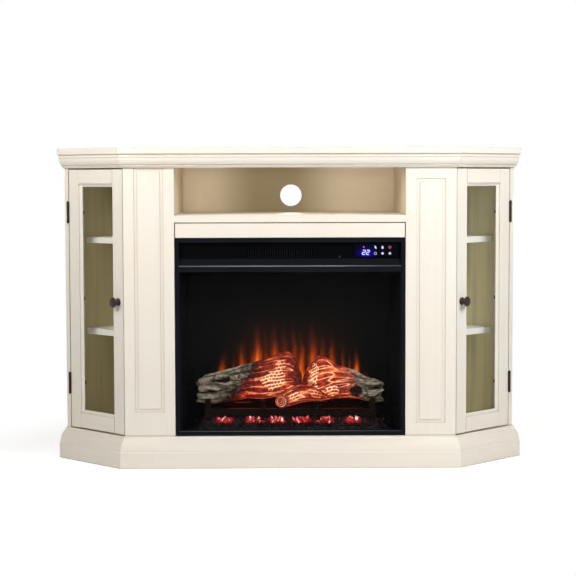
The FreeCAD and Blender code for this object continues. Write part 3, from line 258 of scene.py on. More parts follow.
# Reach and share of the painted shade in the shelves' corners
SHELF_REACH, SHELF_SHARE = 8 * MM, 0.5
PAINT_EDGE, INNER_EDGE = 1.1 * MM, 1 * MM
CABINET_HEART = (0, -0.19, 0)
UPRIGHT, LEVEL, ALONG = (1, 1, 0.04), (0.04, 0.04, 1), (0.04, 1, 1)


def inward_face(s):
    """1 on faces that look toward the middle of the cabinet, 0 on its outside."""
    away = s.node("VectorMath", {0: s.place(), 1: CABINET_HEART}, operation="SUBTRACT")
    flat = s.node("VectorMath", {0: away, 1: (1, 1, 0)}, operation="MULTIPLY")
    look = s.node("VectorMath", {0: flat, 1: s.facing()}, operation="DOT_PRODUCT")
    return s.math("LESS_THAN", look.outputs["Value"], 0.0)


def tan_paint(s, grain_way=UPRIGHT):
    """Thin tan paint, paler to the right as painted light, clouded and with darker streaks along the grain.
    """
    # Paler toward the right: painted light, with a little random cloud
    cloud_and_painted_light = s.math("ADD", s.vary(s.noise(4.0), -0.1, 0.1), s.span(s.axis("X"), -TAN_LIGHT_SPAN, TAN_LIGHT_SPAN))
    tone = s.mix(s.math("MAXIMUM", cloud_and_painted_light, 0.0), INSIDE_TAN, INSIDE_PALE)
    streak = s.noise(42.0, stretch=grain_way)
    return s.mix(s.span(streak, 0.42, 0.62, 0.0, 0.22), tone, TAN_STREAK)


def painted_wood(name, brushed=UPRIGHT, lined=False):
    """Antique ivory paint: cloudy tone, brush drag, warm worn edges, brown glaze in gaps and grooves."""
    s = Shader(name)
    cloud = s.noise(5.0, detail=4.0)
    drag = s.noise(60.0, detail=4.0, stretch=brushed)
    tone = s.mix(s.span(cloud, 0.35, 0.7), IVORY, IVORY_WARM)
    tone = s.mix(s.span(drag, 0.35, 0.8, 0.0, BRUSH_SHARE), tone, BRUSH_MARK)
    tone = s.mix(s.times(s.edge(WORN_EDGE), EDGE_SHARE), tone, EDGE_WARM)
    tone = s.soil(tone, BROAD_SHADE, BROAD_SHARE, BROAD_REACH, 0.2, 1.0)
    tone = s.soil(tone, GLAZE, GLAZE_SHARE, GLAZE_REACH, 0.30, 0.85)
    tone = s.soil(tone, GLAZE_DEEP, 1.0, DEEP_REACH, 0.0, 0.35)
    if lined:
        tone = s.mix(inward_face(s), tone, tan_paint(s))
    relief = s.math("ADD", drag, s.noise(220.0, detail=2.0))
    return s.coat(tone, s.span(cloud, 0.2, 0.8, 0.42, 0.52), 0.35, s.bump(relief, 0.08, 0.6 * MM, PAINT_EDGE))


def inner_wood(name, bay_tone=None, grain_way=UPRIGHT):
    """Thin tan paint inside the cabinet, with painted shade in its corners; faces toward the bay are
    bay_tone, darkened to brown in the bay's middle as painted shade.
    """
    s = Shader(name)
    grain = s.noise(40.0, detail=4.0, stretch=grain_way)
    tone = tan_paint(s, grain_way)
    if bay_tone:
        # Painted shade in the bay's middle, paler toward its ends as painted light
        bay = s.mix(s.span(s.away(s.axis("X"), BAY_DARKEST), BAY_DARK, BAY_PALE), BAY_MIDDLE_SHADE, bay_tone)
        bay = s.mix(s.vary(s.noise(9.0), 0.0, 0.12), bay, BAY_CLOUD)
        tone = s.mix(inward_face(s), tone, bay)
    # Painted shade in the inside corners
    tone = s.soil(tone, TAN_CORNER_SHADE, CORNER_SHARE, CORNER_REACH, 0.2, 0.9)
    return s.coat(tone, 0.6, normal=s.bump(grain, 0.06, 0.6 * MM, INNER_EDGE))


def shelf_paint():
    """Paler paint on the shelves, with faint roller texture and painted shade in their corners."""
    s = Shader("shelf_paint")
    roller = s.noise(260.0, detail=2.0)
    tone = s.mix(s.vary(roller, 0.0, 0.2), SHELF_WHITE, SHELF_GREY)
    # Painted shade where the shelves meet other parts
    tone = s.soil(tone, GLAZE, SHELF_SHARE, SHELF_REACH, 0.2, 0.8)
    return s.coat(tone, 0.5, 0.3, s.bump(roller, 0.05, 0.4 * MM, INNER_EDGE))


# Glass, steel and moulded finishes

PANE_GLOSS, FIRE_PANE_GLOSS = 0.12, 0.04
GLASS_IOR, GLASS_TINT = 1.45, (0.99, 0.99, 0.98)
COAT = (0.0046, 0.0054, 0.0078), (0.0068, 0.0077, 0.0108)
GRILLE_COAT = (0.0040, 0.0040, 0.0045), (0.0085, 0.0085, 0.0092)
FASCIA_FACE, FASCIA_SLOPE = (0.0025, 0.0028, 0.0035), (0.0080, 0.0103, 0.0130)
FASCIA_GRIT = (0.0006, 0.0006, 0.0008)
FASCIA_FOLD, FOLD_SOFT = 536 * MM, 2 * MM
STEEL_EDGE, MOULDED_EDGE = 0.7 * MM, 0.5 * MM

# Colour, roughness, and what differs from mottled's usual values
MOULDED = {
    "oil_rubbed_bronze": ((0.036, 0.016, 0.010), 0.24, dict(grain=260.0, spread=0.5, specular=0.22)),
    "plated_steel": ((0.62, 0.62, 0.63), 0.3, dict(metallic=1.0, grain=300.0)),
    # Near black: painted shade on the heater element behind the outlet grille
    "element_ceramic": ((0.0040, 0.0038, 0.0036), 0.7, dict(specular=0.02)),
    "board_laminate": ((0.02, 0.11, 0.05), 0.4, {}),
    "black_moulding": ((0.012, 0.012, 0.014), 0.45, dict(specular=0.08)),
    "cast_grate": ((0.0085, 0.0052, 0.0042), 0.7, dict(grain=500.0, depth=0.3, specular=0.015)),
    "chamber_black": ((0.0060, 0.0058, 0.0060), 0.6, dict(specular=0.02)),
    # Near black: painted shade on the duct behind the outlet grille
    "duct_in_painted_shade": ((0.0012, 0.0012, 0.0013), 0.6, dict(specular=0.01)),
    "clip_plastic": ((0.03, 0.028, 0.026), 0.5, {}),
    "smoked_dome": ((0.014, 0.013, 0.014), 0.3, dict(specular=0.06)),
}


def clear_glass(name, gloss_share):
    """Thin clear pane: see-through with a soft gloss on its outside, so what is behind shows undistorted."""
    s = Shader(name)
    smear = s.noise(6.0, detail=2.0)
    gloss = s.node("BsdfGlossy", {"Color": WHITE, "Roughness": s.span(smear, 0.3, 0.8, 0.02, 0.05)})
    through = s.node("BsdfTransparent", {"Color": GLASS_TINT})
    share = s.times(s.node("Fresnel", {"IOR": GLASS_IOR}), gloss_share)
    outside = s.math("SUBTRACT", 1.0, s.node("NewGeometry").outputs["Backfacing"])
    return s.surface(s.node("MixShader", {0: s.times(share, outside), 1: through, 2: gloss}))


def black_steel(name, dark, pale):
    """Powder coat with a fine grit."""
    s = Shader(name)
    grit = s.noise(900.0, detail=2.0)
    tone = s.mix(s.vary(s.noise(7.0)), dark, pale)
    return s.coat(tone, s.vary(grit, 0.42, 0.55), 0.04, s.bump(grit, 0.05, 0.1 * MM, STEEL_EDGE))


def fascia_steel():
    """The control fascia: near black on its upright face, and a lighter navy on the slope below."""
    s = Shader("fascia_coat")
    grit = s.noise(900.0, detail=2.0)
    tone = s.mix(s.span(s.axis("Z"), FASCIA_FOLD, FASCIA_FOLD - FOLD_SOFT), FASCIA_FACE, FASCIA_SLOPE)
    tone = s.mix(s.span(grit, 0.4, 0.7, 0.0, 0.3), tone, FASCIA_GRIT)
    return s.coat(tone, 0.5, 0.01, s.bump(grit, 0.05, 0.1 * MM, STEEL_EDGE))


def moulded(name):
    colour, roughness, others = MOULDED[name]
    return mottled(name, colour, roughness, **others)


def mottled(name, colour, roughness, metallic=0.0, grain=120.0, spread=0.12, depth=0.1, specular=0.5):
    """A moulded, cast or plated surface, with mottling and a fine relief at one scale."""
    s = Shader(name)
    mottle = s.noise(grain)
    dark = [c * (1 - spread) for c in colour]
    light = [min(1, c * (1 + spread)) for c in colour]
    rough = s.vary(mottle, roughness * 0.85, roughness * 1.15)
    relief = s.bump(mottle, depth, 0.4 * MM, MOULDED_EDGE)
    return s.coat(s.mix(s.vary(mottle), dark, light), rough, specular, relief, metallic=metallic)


def wear(name, material):
    NODES[name].data.materials.clear()
    NODES[name].data.materials.append(material)


# How the names begin of the boards, rails and mouldings that lie level
LEVEL_NODES = ("top_board", "media_shelf", "apron_rail", "header_rails", "base_rails", "crown_", "plinth_",
               "top_rail_", "bottom_rail_")


def finish_nodes():
    """Each CAD node's finish: first by its material slot, then those that differ from their slot's."""
    black, dark = black_steel("black_powder_coat", *COAT), moulded("chamber_black")
    steel, plastic = moulded("plated_steel"), moulded("black_moulding")
    by_slot = {
        "painted_wood": painted_wood("ivory_paint_upright"), "bronze": moulded("oil_rubbed_bronze"),
        "clear_glass": clear_glass("clear_pane", PANE_GLOSS), "black_steel": black, "black_panel": black,
        "screen_plastic": black, "log_resin": plastic, "ember_resin": plastic, "black_plastic": plastic,
        "bright_steel": steel, "motor_steel": steel, "fan_metal": dark,
    }
    for name in ("cast_grate", "element_ceramic", "board_laminate"):
        by_slot[name] = moulded(name)
    for row in frame["record"]["subparts"]:
        wear(row["node"], by_slot[row["material_slot"]])
    level = painted_wood("ivory_paint_level", LEVEL)
    for name in NODES:
        if name.startswith(LEVEL_NODES):
            wear(name, level)
    lined = painted_wood("ivory_paint_tan_lining", lined=True)
    for side in SIDES:
        wear(f"divider_{side}", inner_wood(f"divider_{side}_paint", DIVIDER_TAN))
        wear(f"side_panel_{side}", lined)
    wear("bottom_board", inner_wood("inside_paint", grain_way=ALONG))
    wear("back_panel", inner_wood("bay_back_paint", BAY_TAN))
    wear("side_shelves", shelf_paint())
    wear("control_fascia", fascia_steel())
    wear("outlet_grille", black_steel("grille_coat", *GRILLE_COAT))
    # The duct behind the grille, near black as painted shade
    wear("heater_duct", moulded("duct_in_painted_shade"))
    wear("chamber_liner", dark)
    wear("front_glass", clear_glass("fire_pane", FIRE_PANE_GLOSS))
    wear("flame_screen", flame_light())
    wear("control_panel", panel_finish())


# Piece helpers

def smooth(value, low, high):
    """0 at low, 1 at high, eased between them."""
    t = min(1, max(0, (value - low) / (high - low)))
    return t * t * (3 - 2 * t)


def bell(value, middle, half):
    """1 at the middle, falling off to both sides."""
    return math.exp(-((value - middle) / half) ** 2)


def new_piece(name, mesh, material, slot, shade_smooth=True, body="cabinet"):
    piece = in_scene(name, mesh)
    mesh.materials.clear()
    mesh.materials.append(material)
    for face in mesh.polygons:
        face.use_smooth = shade_smooth
    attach(piece, body)
    return piece


def from_bmesh(name, bm, *looks, **more):
    mesh = bpy.data.meshes.new(name)
    bmesh.ops.recalc_face_normals(bm, faces=bm.faces)
    bm.to_mesh(mesh)
    bm.free()
    return new_piece(name, mesh, *looks, **more)


def skin(bm, rows, closed):
    """Faces between neighbouring rows of vertices; a closed row's last vertex joins its first."""
    for near, far in zip(rows, rows[1:]):
        for k in range(len(near) if closed else len(near) - 1):
            n = (k + 1) % len(near)
            bm.faces.new((near[k], near[n], far[n], far[k]))


def node_mesh(node, voxel):
    """The CAD node's surface as even small faces, for fine relief."""
    holder = in_scene("holder", NODES[node].data.copy())
    modifier = holder.modifiers.new("even", "REMESH")
    modifier.mode = "VOXEL"
    modifier.voxel_size = voxel
    mesh = bpy.data.meshes.new_from_object(holder.evaluated_get(bpy.context.evaluated_depsgraph_get()))
    bpy.data.objects.remove(holder)
    return mesh


# Resin logs: bark relief, split ends, knots, and glowing cracks

LOG_FACE = 1.3 * MM
BARK_RUN, BARK_GAP, BARK_WANDER, CRACK_DEEP = 105 * MM, 7.5 * MM, 0.6, 1.8 * MM
LUMP, LUMP_DEEP = 11 * MM, 1.5 * MM
CELL_LONG, CELL_TALL, CELL_DRIFT = 10 * MM, 7 * MM, 34 * MM
CELL_OPENING, OPEN_SHARE = 4 * MM, 0.6
SPLIT_RUN, SPLIT_TURN, SPLIT_DEEP = 120 * MM, 1.6, 8 * MM
KNOT_LIP, LIP_AT, LIP_WIDE = 1.2 * MM, 1.25, 0.2
CHIP_ZONE, CHIP_DEEP, CHIP_WIDE, CHIP_TALL = 34 * MM, 15 * MM, 20 * MM, 15 * MM
CHAR_GRAIN = 3.2 * MM
LOG_REACH = 222 * MM
SLICES = 28
UNMARKED = 0.9
BARK_SEED = 22
MARKS = ("glow_share", "ash", "grain_line", "cell_line")

# Glow, ashen, hot, burnt and cells are shares of a log's length and half height. A knot is x, z, half width,
# half height and depth in millimetres
LOG_LOOKS = {
    "left_log": dict(
        glow=(0.35, 0.64, 1.02, 1.10), ashen=(0.46, 0.26), tilt=0.13, hot=(0.75, 0.24, -0.1, 0.9),
        burnt=(0.915, 0.94), twist=0.25, cells=((0.73, 0.13, -0.12, 0.5), (0.80, 0.06, 0.5, 0.3)),
        knots=((-173, 218, 24, 12, 11), (-205, 186, 12, 3.5, 5)), seed=3.0),
    "right_log": dict(
        glow=(-0.4, -0.3, 0.56, 0.78), ashen=(0.50, 0.70), tilt=-0.05, hot=(0.22, 0.36, -0.1, 1.3),
        burnt=(0.065, 0.045), twist=-1.5, cells=((0.14, 0.06, 0.3, 0.6), (0.36, 0.1, -0.5, 0.35)),
        knots=((172, 184, 22, 17, 9), (228, 196, 14, 3, 5)), seed=11.0),
    "front_log": dict(
        glow=(-0.4, -0.2, 1.5, 1.6), ashen=(3, 4), tilt=0.0, hot=(0.45, 0.3, 0.1, 0.8),
        burnt=(3, 4), twist=0.0, cells=((0.30, 0.20, -0.1, 0.6), (0.78, 0.16, 0.1, 0.7)),
        knots=(), seed=23.0),
}


def slices_of(mesh):
    """Ends along X, and middle and half size in Y and Z of each slice between them."""
    low = min(v.co.x for v in mesh.vertices)
    high = max(v.co.x for v in mesh.vertices)
    slices = [[] for _ in range(SLICES)]
    for vertex in mesh.vertices:
        index = int((vertex.co.x - low) / (high - low) * SLICES)
        slices[min(index, SLICES - 1)].append(vertex.co)
    rows = []
    for points in slices:
        y0, y1 = min(p.y for p in points), max(p.y for p in points)
        z0, z1 = min(p.z for p in points), max(p.z for p in points)
        rows.append(((y0 + y1) / 2, (z0 + z1) / 2, (y1 - y0) / 2, (z1 - z0) / 2))
    return low, high, rows


def slice_at(rows, along):
    place = min(SLICES - 1.001, max(0, along * SLICES - 0.5))
    index = int(place)
    part = place - index
    return [a + (b - a) * part for a, b in zip(rows[index], rows[index + 1])]


def cell_edge(point, arc, seed):
    """Distance to the nearest side of a brick-like cell of char; arc is the way round the log. In metres."""
    drift = noise.noise_vector(point / CELL_DRIFT + Vector((seed, 0, 0)))
    row = arc / CELL_TALL + 0.7 * drift.x
    column = point.x / CELL_LONG + 0.5 * drift.y + 0.5 * (math.floor(row) % 2)
    across = min(row % 1, 1 - row % 1) * CELL_TALL
    beside = min(column % 1, 1 - column % 1) * CELL_LONG
    is_open = noise.cell(Vector((math.floor(row), math.floor(column), seed))) > OPEN_SHARE
    return min(across, beside + (CELL_OPENING if is_open else 0))


def knot_marks(point, knots, rough, facing):
    """How deep the knots sink a point, how hollow it is from 0 to 1, and the share of each raised lip."""
    sink, hollow, lips = 0, 0, []
    for x, z, wide, tall, deep in knots:
        reach = math.hypot((point.x - x * MM) / (wide * MM), (point.z - z * MM) / (tall * MM)) + 0.12 * rough
        pit = (1 - smooth(reach, 0.6, 1.0)) * facing
        lips.append(bell(reach, LIP_AT, LIP_WIDE) * facing)
        sink += deep * MM * pit - KNOT_LIP * lips[-1]
        hollow = max(hollow, pit)
    return sink, hollow, lips


def chip_off(point, seed):
    """How far the bark is chipped back from a log's broken end."""
    chip = 0.5 + 0.75 * noise.noise(Vector((seed + point.y / CHIP_WIDE, 0, point.z / CHIP_TALL)))
    out = smooth((abs(point.x) - LOG_REACH) / CHIP_ZONE, 0.0, 0.75)
    return math.copysign(CHIP_DEEP * out * min(1, max(0, chip)), point.x)


def dress_log(node, glow, ashen, tilt, hot, burnt, twist, cells, knots, seed):
    """Bark on a log's own shape; the marks on its vertices become ash, cracks and glow in the finish."""
    mesh = node_mesh(node, LOG_FACE)
    low, high, rows = slices_of(mesh)
    normals = [v.normal.copy() for v in mesh.vertices]
    marks = []
    for vertex, normal in zip(mesh.vertices, normals):
        point = vertex.co.copy()
        along = (point.x - low) / (high - low)
        mid_y, mid_z, half_y, half_z = slice_at(rows, along)
        radius = (half_y + half_z) / 2
        tall = (point.z - mid_z) / half_z
        turn = math.atan2(tall, (mid_y - point.y) / half_y) + twist * along
        ring = Vector((0, math.cos(turn), math.sin(turn)))

        # Grain lines, lumps, char cells and the long splits
        grain = Vector(((point.x - low) / BARK_RUN, 0, seed)) + ring * (radius / BARK_GAP)
        line = noise.noise(grain + noise.noise_vector(grain * 0.3) * BARK_WANDER)
        rough = noise.fractal(point / LUMP + Vector((seed, 0, 0)), 1.0, 2.0, 4)
        in_cells = max(bell(along, a, b) * bell(tall, c, d) for a, b, c, d in cells)
        cell = cell_edge(point, turn * radius, seed) / CELL_LONG
        cell += UNMARKED * (1 - smooth(in_cells + 0.2 * rough, 0.3, 0.5))
        spots = Vector((point.x / SPLIT_RUN, ring.y * SPLIT_TURN, ring.z * SPLIT_TURN + seed))
        split = 1 - smooth(abs(noise.noise(spots)), 0.0, 0.2)

        # Where the log is ashen, lit, hottest and burnt black
        place = along - tilt * tall
        far = smooth(place + 0.10 * rough, *ashen)
        lit = smooth(place + 0.08 * rough, *glow[:2]) * (1 - smooth(place + 0.03 * rough, *glow[2:]))
        lit *= 0.56 + 0.44 * bell(along, *hot[:2]) * bell(tall, *hot[2:])
        charred = smooth(along + 0.02 * rough, *burnt)

        # Relief, none of it where the log lies on its seats
        knot_deep, hollow, lips = knot_marks(point, knots, rough, smooth(-normal.y, 0.1, 0.5))
        crack = max(1 - smooth(abs(line), 0.0, 0.2), 1 - smooth(cell, 0.0, 0.15))
        sink = CRACK_DEEP * crack + SPLIT_DEEP * split * far + LUMP_DEEP * rough + knot_deep
        free = 1 - smooth(-normal.z, 0.3, 0.8)
        vertex.co = point - normal * sink * free
        if abs(point.x) > LOG_REACH:
            vertex.co.x -= chip_off(point, seed) * free
        for lip in lips:
            line *= 1 - 0.9 * lip * far
        if charred > 0.4:
            cell = abs(noise.noise(point / CHAR_GRAIN)) * 1.3
        marks.append((lit * (1 - 0.45 * charred) * (1 - 0.9 * hollow), far * (1 - split * 0.7) * (1 - hollow),
                      line * (1 + 1.5 * in_cells) + UNMARKED * charred, cell))
    for name, values in zip(MARKS, zip(*marks)):
        mesh.attributes.new(name, "FLOAT", "POINT").data.foreach_set("value", values)
    mesh.update()
    return mesh


ASH_DARK, ASH_PALE, ASH_SPECK = (0.32, 0.27, 0.20), (0.68, 0.60, 0.465), (0.12, 0.09, 0.07)
ASH_FIBRE, ASH_CRACK, ASH_CREVICE_SHADE = (0.09, 0.07, 0.055), (0.03, 0.022, 0.017), (0.02, 0.015, 0.012)
CHAR = (0.012, 0.008, 0.007)
LOG_SHADE_REACH = 12 * MM
HEAT_BASE, HEAT_HALO, HEAT_LINE = 0.36, 0.24, 0.52
LOG_FIRE = (
    (0.0, BLACK), (0.14, (0.03, 0.002, 0.002)), (0.30, (0.19, 0.013, 0.008)), (0.46, (0.55, 0.055, 0.018)),
    (0.62, (0.90, 0.19, 0.057)), (0.80, (1.0, 0.50, 0.23)), (1.0, (1.0, 0.86, 0.56)),
)


def weathered(s, line, patch, fine):
    """Grey-tan ash bark with fibres along it, dark in its cracks, with painted shade in its crevices."""
    grey = s.mix(s.vary(patch), ASH_DARK, ASH_PALE)
    grey = s.mix(s.span(fine, 0.35, 0.7, 0.0, 0.5), grey, ASH_SPECK)
    fibre = s.noise(420.0, detail=4.0, roughness=0.7, stretch=(0.07, 1, 1))
    grey = s.mix(s.span(fibre, 0.46, 0.62, 0.0, 0.75), grey, ASH_FIBRE)
    grey = s.mix(s.times(s.span(line, 0.0, 0.13, 1.0, 0.0), 0.85), grey, ASH_CRACK)
    # Painted shade in the bark's crevices
    return s.soil(grey, ASH_CREVICE_SHADE, 1.0, LOG_SHADE_REACH, 0.3, 0.9)


def log_finish():
    """Painted resin: weathered bark, charred wood, and a lit core that shows in the cracks."""
    s = Shader("log_bark")
    glow, ash, line, cell = (s.attribute(name) for name in MARKS)
    line = s.math("ABSOLUTE", line)
    fine = s.noise(700.0)
    patch = s.noise(90.0, detail=4.0)
    uneven = s.vary(s.noise(60.0), 0.25, 1.0)
    lines = s.math("MAXIMUM", s.times(s.span(line, 0.03, 0.15, 1.0, 0.0), uneven),
                   s.times(s.span(cell, 0.04, 0.14, 1.0, 0.0), 0.95))
    halo = s.math("MAXIMUM", s.span(line, 0.05, 0.4, 1.0, 0.0), s.span(cell, 0.05, 0.4, 1.0, 0.0))
    heat = s.math("ADD", HEAT_BASE, s.times(halo, HEAT_HALO))
    heat = s.math("ADD", heat, s.times(lines, HEAT_LINE))
    heat = s.math("ADD", heat, s.vary(patch, -0.10, 0.10))
    heat = s.math("MULTIPLY", heat, glow, clamp=True)
    tone = s.mix(ash, CHAR, weathered(s, line, patch, fine))
    return s.coat(tone, s.vary(fine, 0.7, 0.9), 0.1, s.bump(fine, 0.3, 0.5 * MM), s.ramp(heat, *LOG_FIRE))


def add_logs():
    noise.seed_set(BARK_SEED)  # unseeded, noise_vector draws on the clock and the bark differs each run
    bark = log_finish()
    for node, looks in LOG_LOOKS.items():
        piece = new_piece(f"{node}_bark", dress_log(node, **looks), bark, "log_resin")
        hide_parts(node)
    from_bmesh("front_log_end", end_grain(), bark, "log_resin")


END_RADIUS, END_DEEP, END_DOME, RING_TALL = 17 * MM, 12 * MM, 2.5 * MM, 0.7 * MM
END_AT, END_FACING = Vector((-23, -158, 165)) * MM, Vector((-0.28, -0.95, 0.06))
END_RINGS, END_SPOKES, GROWTH_RINGS = 26, 72, 3.4
FACE_SHARE, MERGED = 0.86, 0.2 * MM


def end_grain():
    """The cut end of the front log: a shallow dome with growth rings in a spiral."""
    facing = END_FACING.normalized()
    across = facing.cross(Vector((0, 0, 1))).normalized()
    upward = across.cross(facing)
    bm = bmesh.new()
    layers = [bm.verts.layers.float.new(name) for name in MARKS]
    grid = []
    for i in range(END_RINGS + 1):
        share = max(i, 0.001) / END_RINGS
        out = min(1, share / FACE_SHARE)
        back = smooth(share, 0.80, 1.0) * END_DEEP
        rim = smooth(out, 0.80, 0.92)
        eye = smooth(out, 0.22, 0.30) * (1 - smooth(out, 0.34, 0.44))
        row = []
        for j in range(END_SPOKES):
            angle = math.tau * j / END_SPOKES
            wobble = 1 + 0.06 * noise.noise(Vector((math.cos(angle) * 1.3, math.sin(angle) * 1.3, 7.0)))
            ridge = math.cos(math.tau * (out * GROWTH_RINGS - angle / math.tau))
            lift = RING_TALL * ridge * smooth(out, 0.12, 0.3)
            reach = END_RADIUS * out * wobble * (1 + 0.06 * smooth(share, FACE_SHARE, 1.0))
            place = END_AT + (across * math.cos(angle) + upward * math.sin(angle)) * reach
            vertex = bm.verts.new(place + facing * (lift - back + END_DOME * (1 - out * out)))
            values = (1.0 - 0.62 * rim - 0.35 * eye, 0.45 * rim, 0.5 * (1 - max(0, ridge)), UNMARKED)
            for layer, value in zip(layers, values):
                vertex[layer] = value
            row.append(vertex)
        grid.append(row)
    skin(bm, grid, True)
    bmesh.ops.remove_doubles(bm, verts=bm.verts, dist=MERGED)
    bmesh.ops.holes_fill(bm, edges=bm.edges)
    return bm


# Ember bed: a lumpy tray of coals, with glassy shards that glow in clusters

# Middle and half width in millimetres
CLUSTERS = ((-172, 25), (-104, 13), (-76, 13), (-35, 22), (30, 25), (89, 25), (165, 22))
COAL, COAL_FACE = 8 * MM, 1.8 * MM
COAL_FOOT, COAL_BULGE, COAL_TILT = 7 * MM, 5 * MM, 3 * MM
TRAY_SLOPE = 30 * MM
SHARDS, LIT_SHARDS, SHARD_CORNERS = 440, 28, 9
SHARD_GLOWS, LIT_GLOWS = (0.2, 0.4, 0.5, 0.58, 0.65, 0.75, 0.85), (0.8, 0.88, 1.0)
SHARD_INSET, SHARD_LIFT, LIT_LIFT = 12 * MM, (13, 12), (18, 10)
COAL_DARK, COAL_PALE = (0.002, 0.002, 0.0025), (0.024, 0.020, 0.022)
EMBER_FIRE = (
    (0.0, BLACK), (0.3, (0.05, 0.0, 0.002)), (0.5, (0.34, 0.002, 0.007)), (0.72, (0.72, 0.018, 0.026)),
    (0.86, (1.0, 0.28, 0.24)), (1.0, (1.0, 0.86, 0.80)),
)


def cluster_glow(x):
    return max(math.exp(-((x / MM - at) / half) ** 6) for at, half in CLUSTERS)


def ember_finish():
    s = Shader("coals_and_embers")
    fine = s.noise(800.0)
    tone = s.mix(s.span(s.noise(140.0), 0.35, 0.7), COAL_DARK, COAL_PALE)
    lit = s.ramp(s.attribute("glow_share"), *EMBER_FIRE)
    return s.coat(tone, s.vary(fine, 0.3, 0.6), 0.2, s.bump(fine, 0.2, 0.4 * MM), lit)


def coal_bed(low, high):
    """Lumps that rise toward the back and slope to the tray's ends, lit where the clusters lie."""
    columns = int((high[0] - low[0]) / COAL_FACE)
    rows = int((high[1] - low[1]) / COAL_FACE)
    bm = bmesh.new()
    heat_layer = bm.verts.layers.float.new("glow_share")
    grid = []
    for j in range(rows + 1):
        y = low[1] + (high[1] - low[1]) * j / rows
        slope = smooth(j / rows, 0.0, 0.7)
        band = smooth(slope, 0.50, 0.72) * (1 - smooth(j / rows, 0.78, 0.93))
        row = []
        for i in range(columns + 1):
            x = low[0] + (high[0] - low[0]) * i / columns
            near, nearest = noise.voronoi(Vector((x, y * 1.1, slope * COAL)) / COAL)
            gap = near[1] - near[0]
            tilt = noise.noise(nearest[0] * 3.1)
            rise = COAL_FOOT + (high[2] - low[2] - 2 * COAL_FOOT) * slope
            rise += smooth(gap, 0.0, 0.5) * COAL_BULGE + tilt * COAL_TILT
            rise *= min(1, (high[0] - abs(x)) / TRAY_SLOPE)
            inside = min(i, columns - i, j, rows - j)
            vertex = bm.verts.new((x, y, low[2] + rise if inside else low[2]))
            seam = 1 - smooth(gap, 0.02, 0.22)
            share = cluster_glow(x) * band * (0.42 + 0.25 * seam + 0.25 * max(0, tilt))
            vertex[heat_layer] = share if inside else 0.0
            row.append(vertex)
        grid.append(row)
    skin(bm, grid, False)
    bmesh.ops.edgeloop_fill(bm, edges=[e for e in bm.edges if e.is_boundary])
    return bm


def shard(bm, heat_layer, centre, size, lean, slim, heat, chance):
    """One pointed glassy piece: the hull of a few random points."""
    points = []
    for _ in range(SHARD_CORNERS):
        way = Vector((chance.gauss(0, 1), chance.gauss(0, 1), chance.gauss(0, 1))).normalized()
        tall = Vector((way.x * slim + lean * way.z, way.y * slim, way.z * 1.5)) * size
        vertex = bm.verts.new(centre + tall)
        vertex[heat_layer] = heat
        points.append(vertex)
    hull = bmesh.ops.convex_hull(bm, input=points)
    spare = [g for g in hull["geom_interior"] + hull["geom_unused"] if isinstance(g, bmesh.types.BMVert)]
    bmesh.ops.delete(bm, geom=spare, context="VERTS")


def ember_shards(low, high):
    """Glassy pieces, thick in the clusters and scattered between them, with a few large lit ones on top."""
    def on_bed(x, depth, lift):
        foot, climb = lift
        y = low[1] + depth * (high[1] - low[1])
        return Vector((x, y, low[2] + (foot + climb * smooth(depth, 0.0, 0.7)) * MM))
    chance = random.Random(22)
    bm = bmesh.new()
    heat_layer = bm.verts.layers.float.new("glow_share")
    for index in range(SHARDS):
        if index % 3:
            at, half = chance.choice(CLUSTERS)
            x = (at + chance.uniform(-1, 1) * half) * MM
            depth = chance.uniform(0.42, 0.85)
        else:
            x = chance.uniform(low[0] + SHARD_INSET, high[0] - SHARD_INSET)
            depth = chance.uniform(0.15, 0.7)
        heat = cluster_glow(x) * chance.choice(SHARD_GLOWS) * smooth(depth, 0.25, 0.45)
        heat += 0.1 * chance.random()
        size, lean = chance.uniform(2.4, 5.0) * MM, chance.uniform(-0.6, 0.6)
        shard(bm, heat_layer, on_bed(x, depth, SHARD_LIFT), size, lean, 0.8, heat, chance)
    for index in range(LIT_SHARDS):
        at, half = CLUSTERS[index % len(CLUSTERS)]
        x = (at + chance.uniform(-0.8, 0.8) * half) * MM
        depth = chance.uniform(0.5, 0.75)
        size, lean = chance.uniform(3.8, 7.2) * MM, chance.uniform(-0.9, 0.9)
        shard(bm, heat_layer, on_bed(x, depth, LIT_LIFT), size, lean, 0.45, chance.choice(LIT_GLOWS), chance)
    return bm


def add_embers():
    glowing = ember_finish()
    low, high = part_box("ember_bed")
    bed = from_bmesh("coal_bed", coal_bed(low, high), glowing, "ember_resin")
    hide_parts("ember_bed")
    from_bmesh("ember_shards", ember_shards(low, high), glowing, "ember_resin", False)


# Flames: light thrown on the rear screen, in soft tongues

# Middle, base, tip and half width in millimetres, and strength
FLAMES = (
    (-206, 206, 246, 6, 0.80), (-174, 226, 290, 13, 1.05), (-166, 230, 335, 6, 0.34),
    (-146, 236, 300, 6, 0.55), (-124, 240, 345, 14, 0.66), (-86, 250, 388, 15, 0.86),
    (-64, 255, 400, 10, 0.36), (-40, 266, 392, 13, 0.62), (-14, 268, 380, 12, 0.45),
    (12, 225, 388, 13, 0.75), (30, 212, 360, 13, 1.0), (60, 262, 392, 14, 0.60),
    (84, 258, 350, 12, 0.45), (109, 248, 345, 12, 0.78), (139, 244, 335, 7, 0.42),
    (156, 238, 300, 6, 0.50), (174, 226, 312, 9, 1.00), (199, 208, 246, 6, 0.80),
)
FLAME_FOOT, FLAME_SWAY = 22 * MM, 6 * MM
TONGUE_TAPER, TONGUE_FADE, TIP_WIDTH = 0.65, 1.55, 0.03

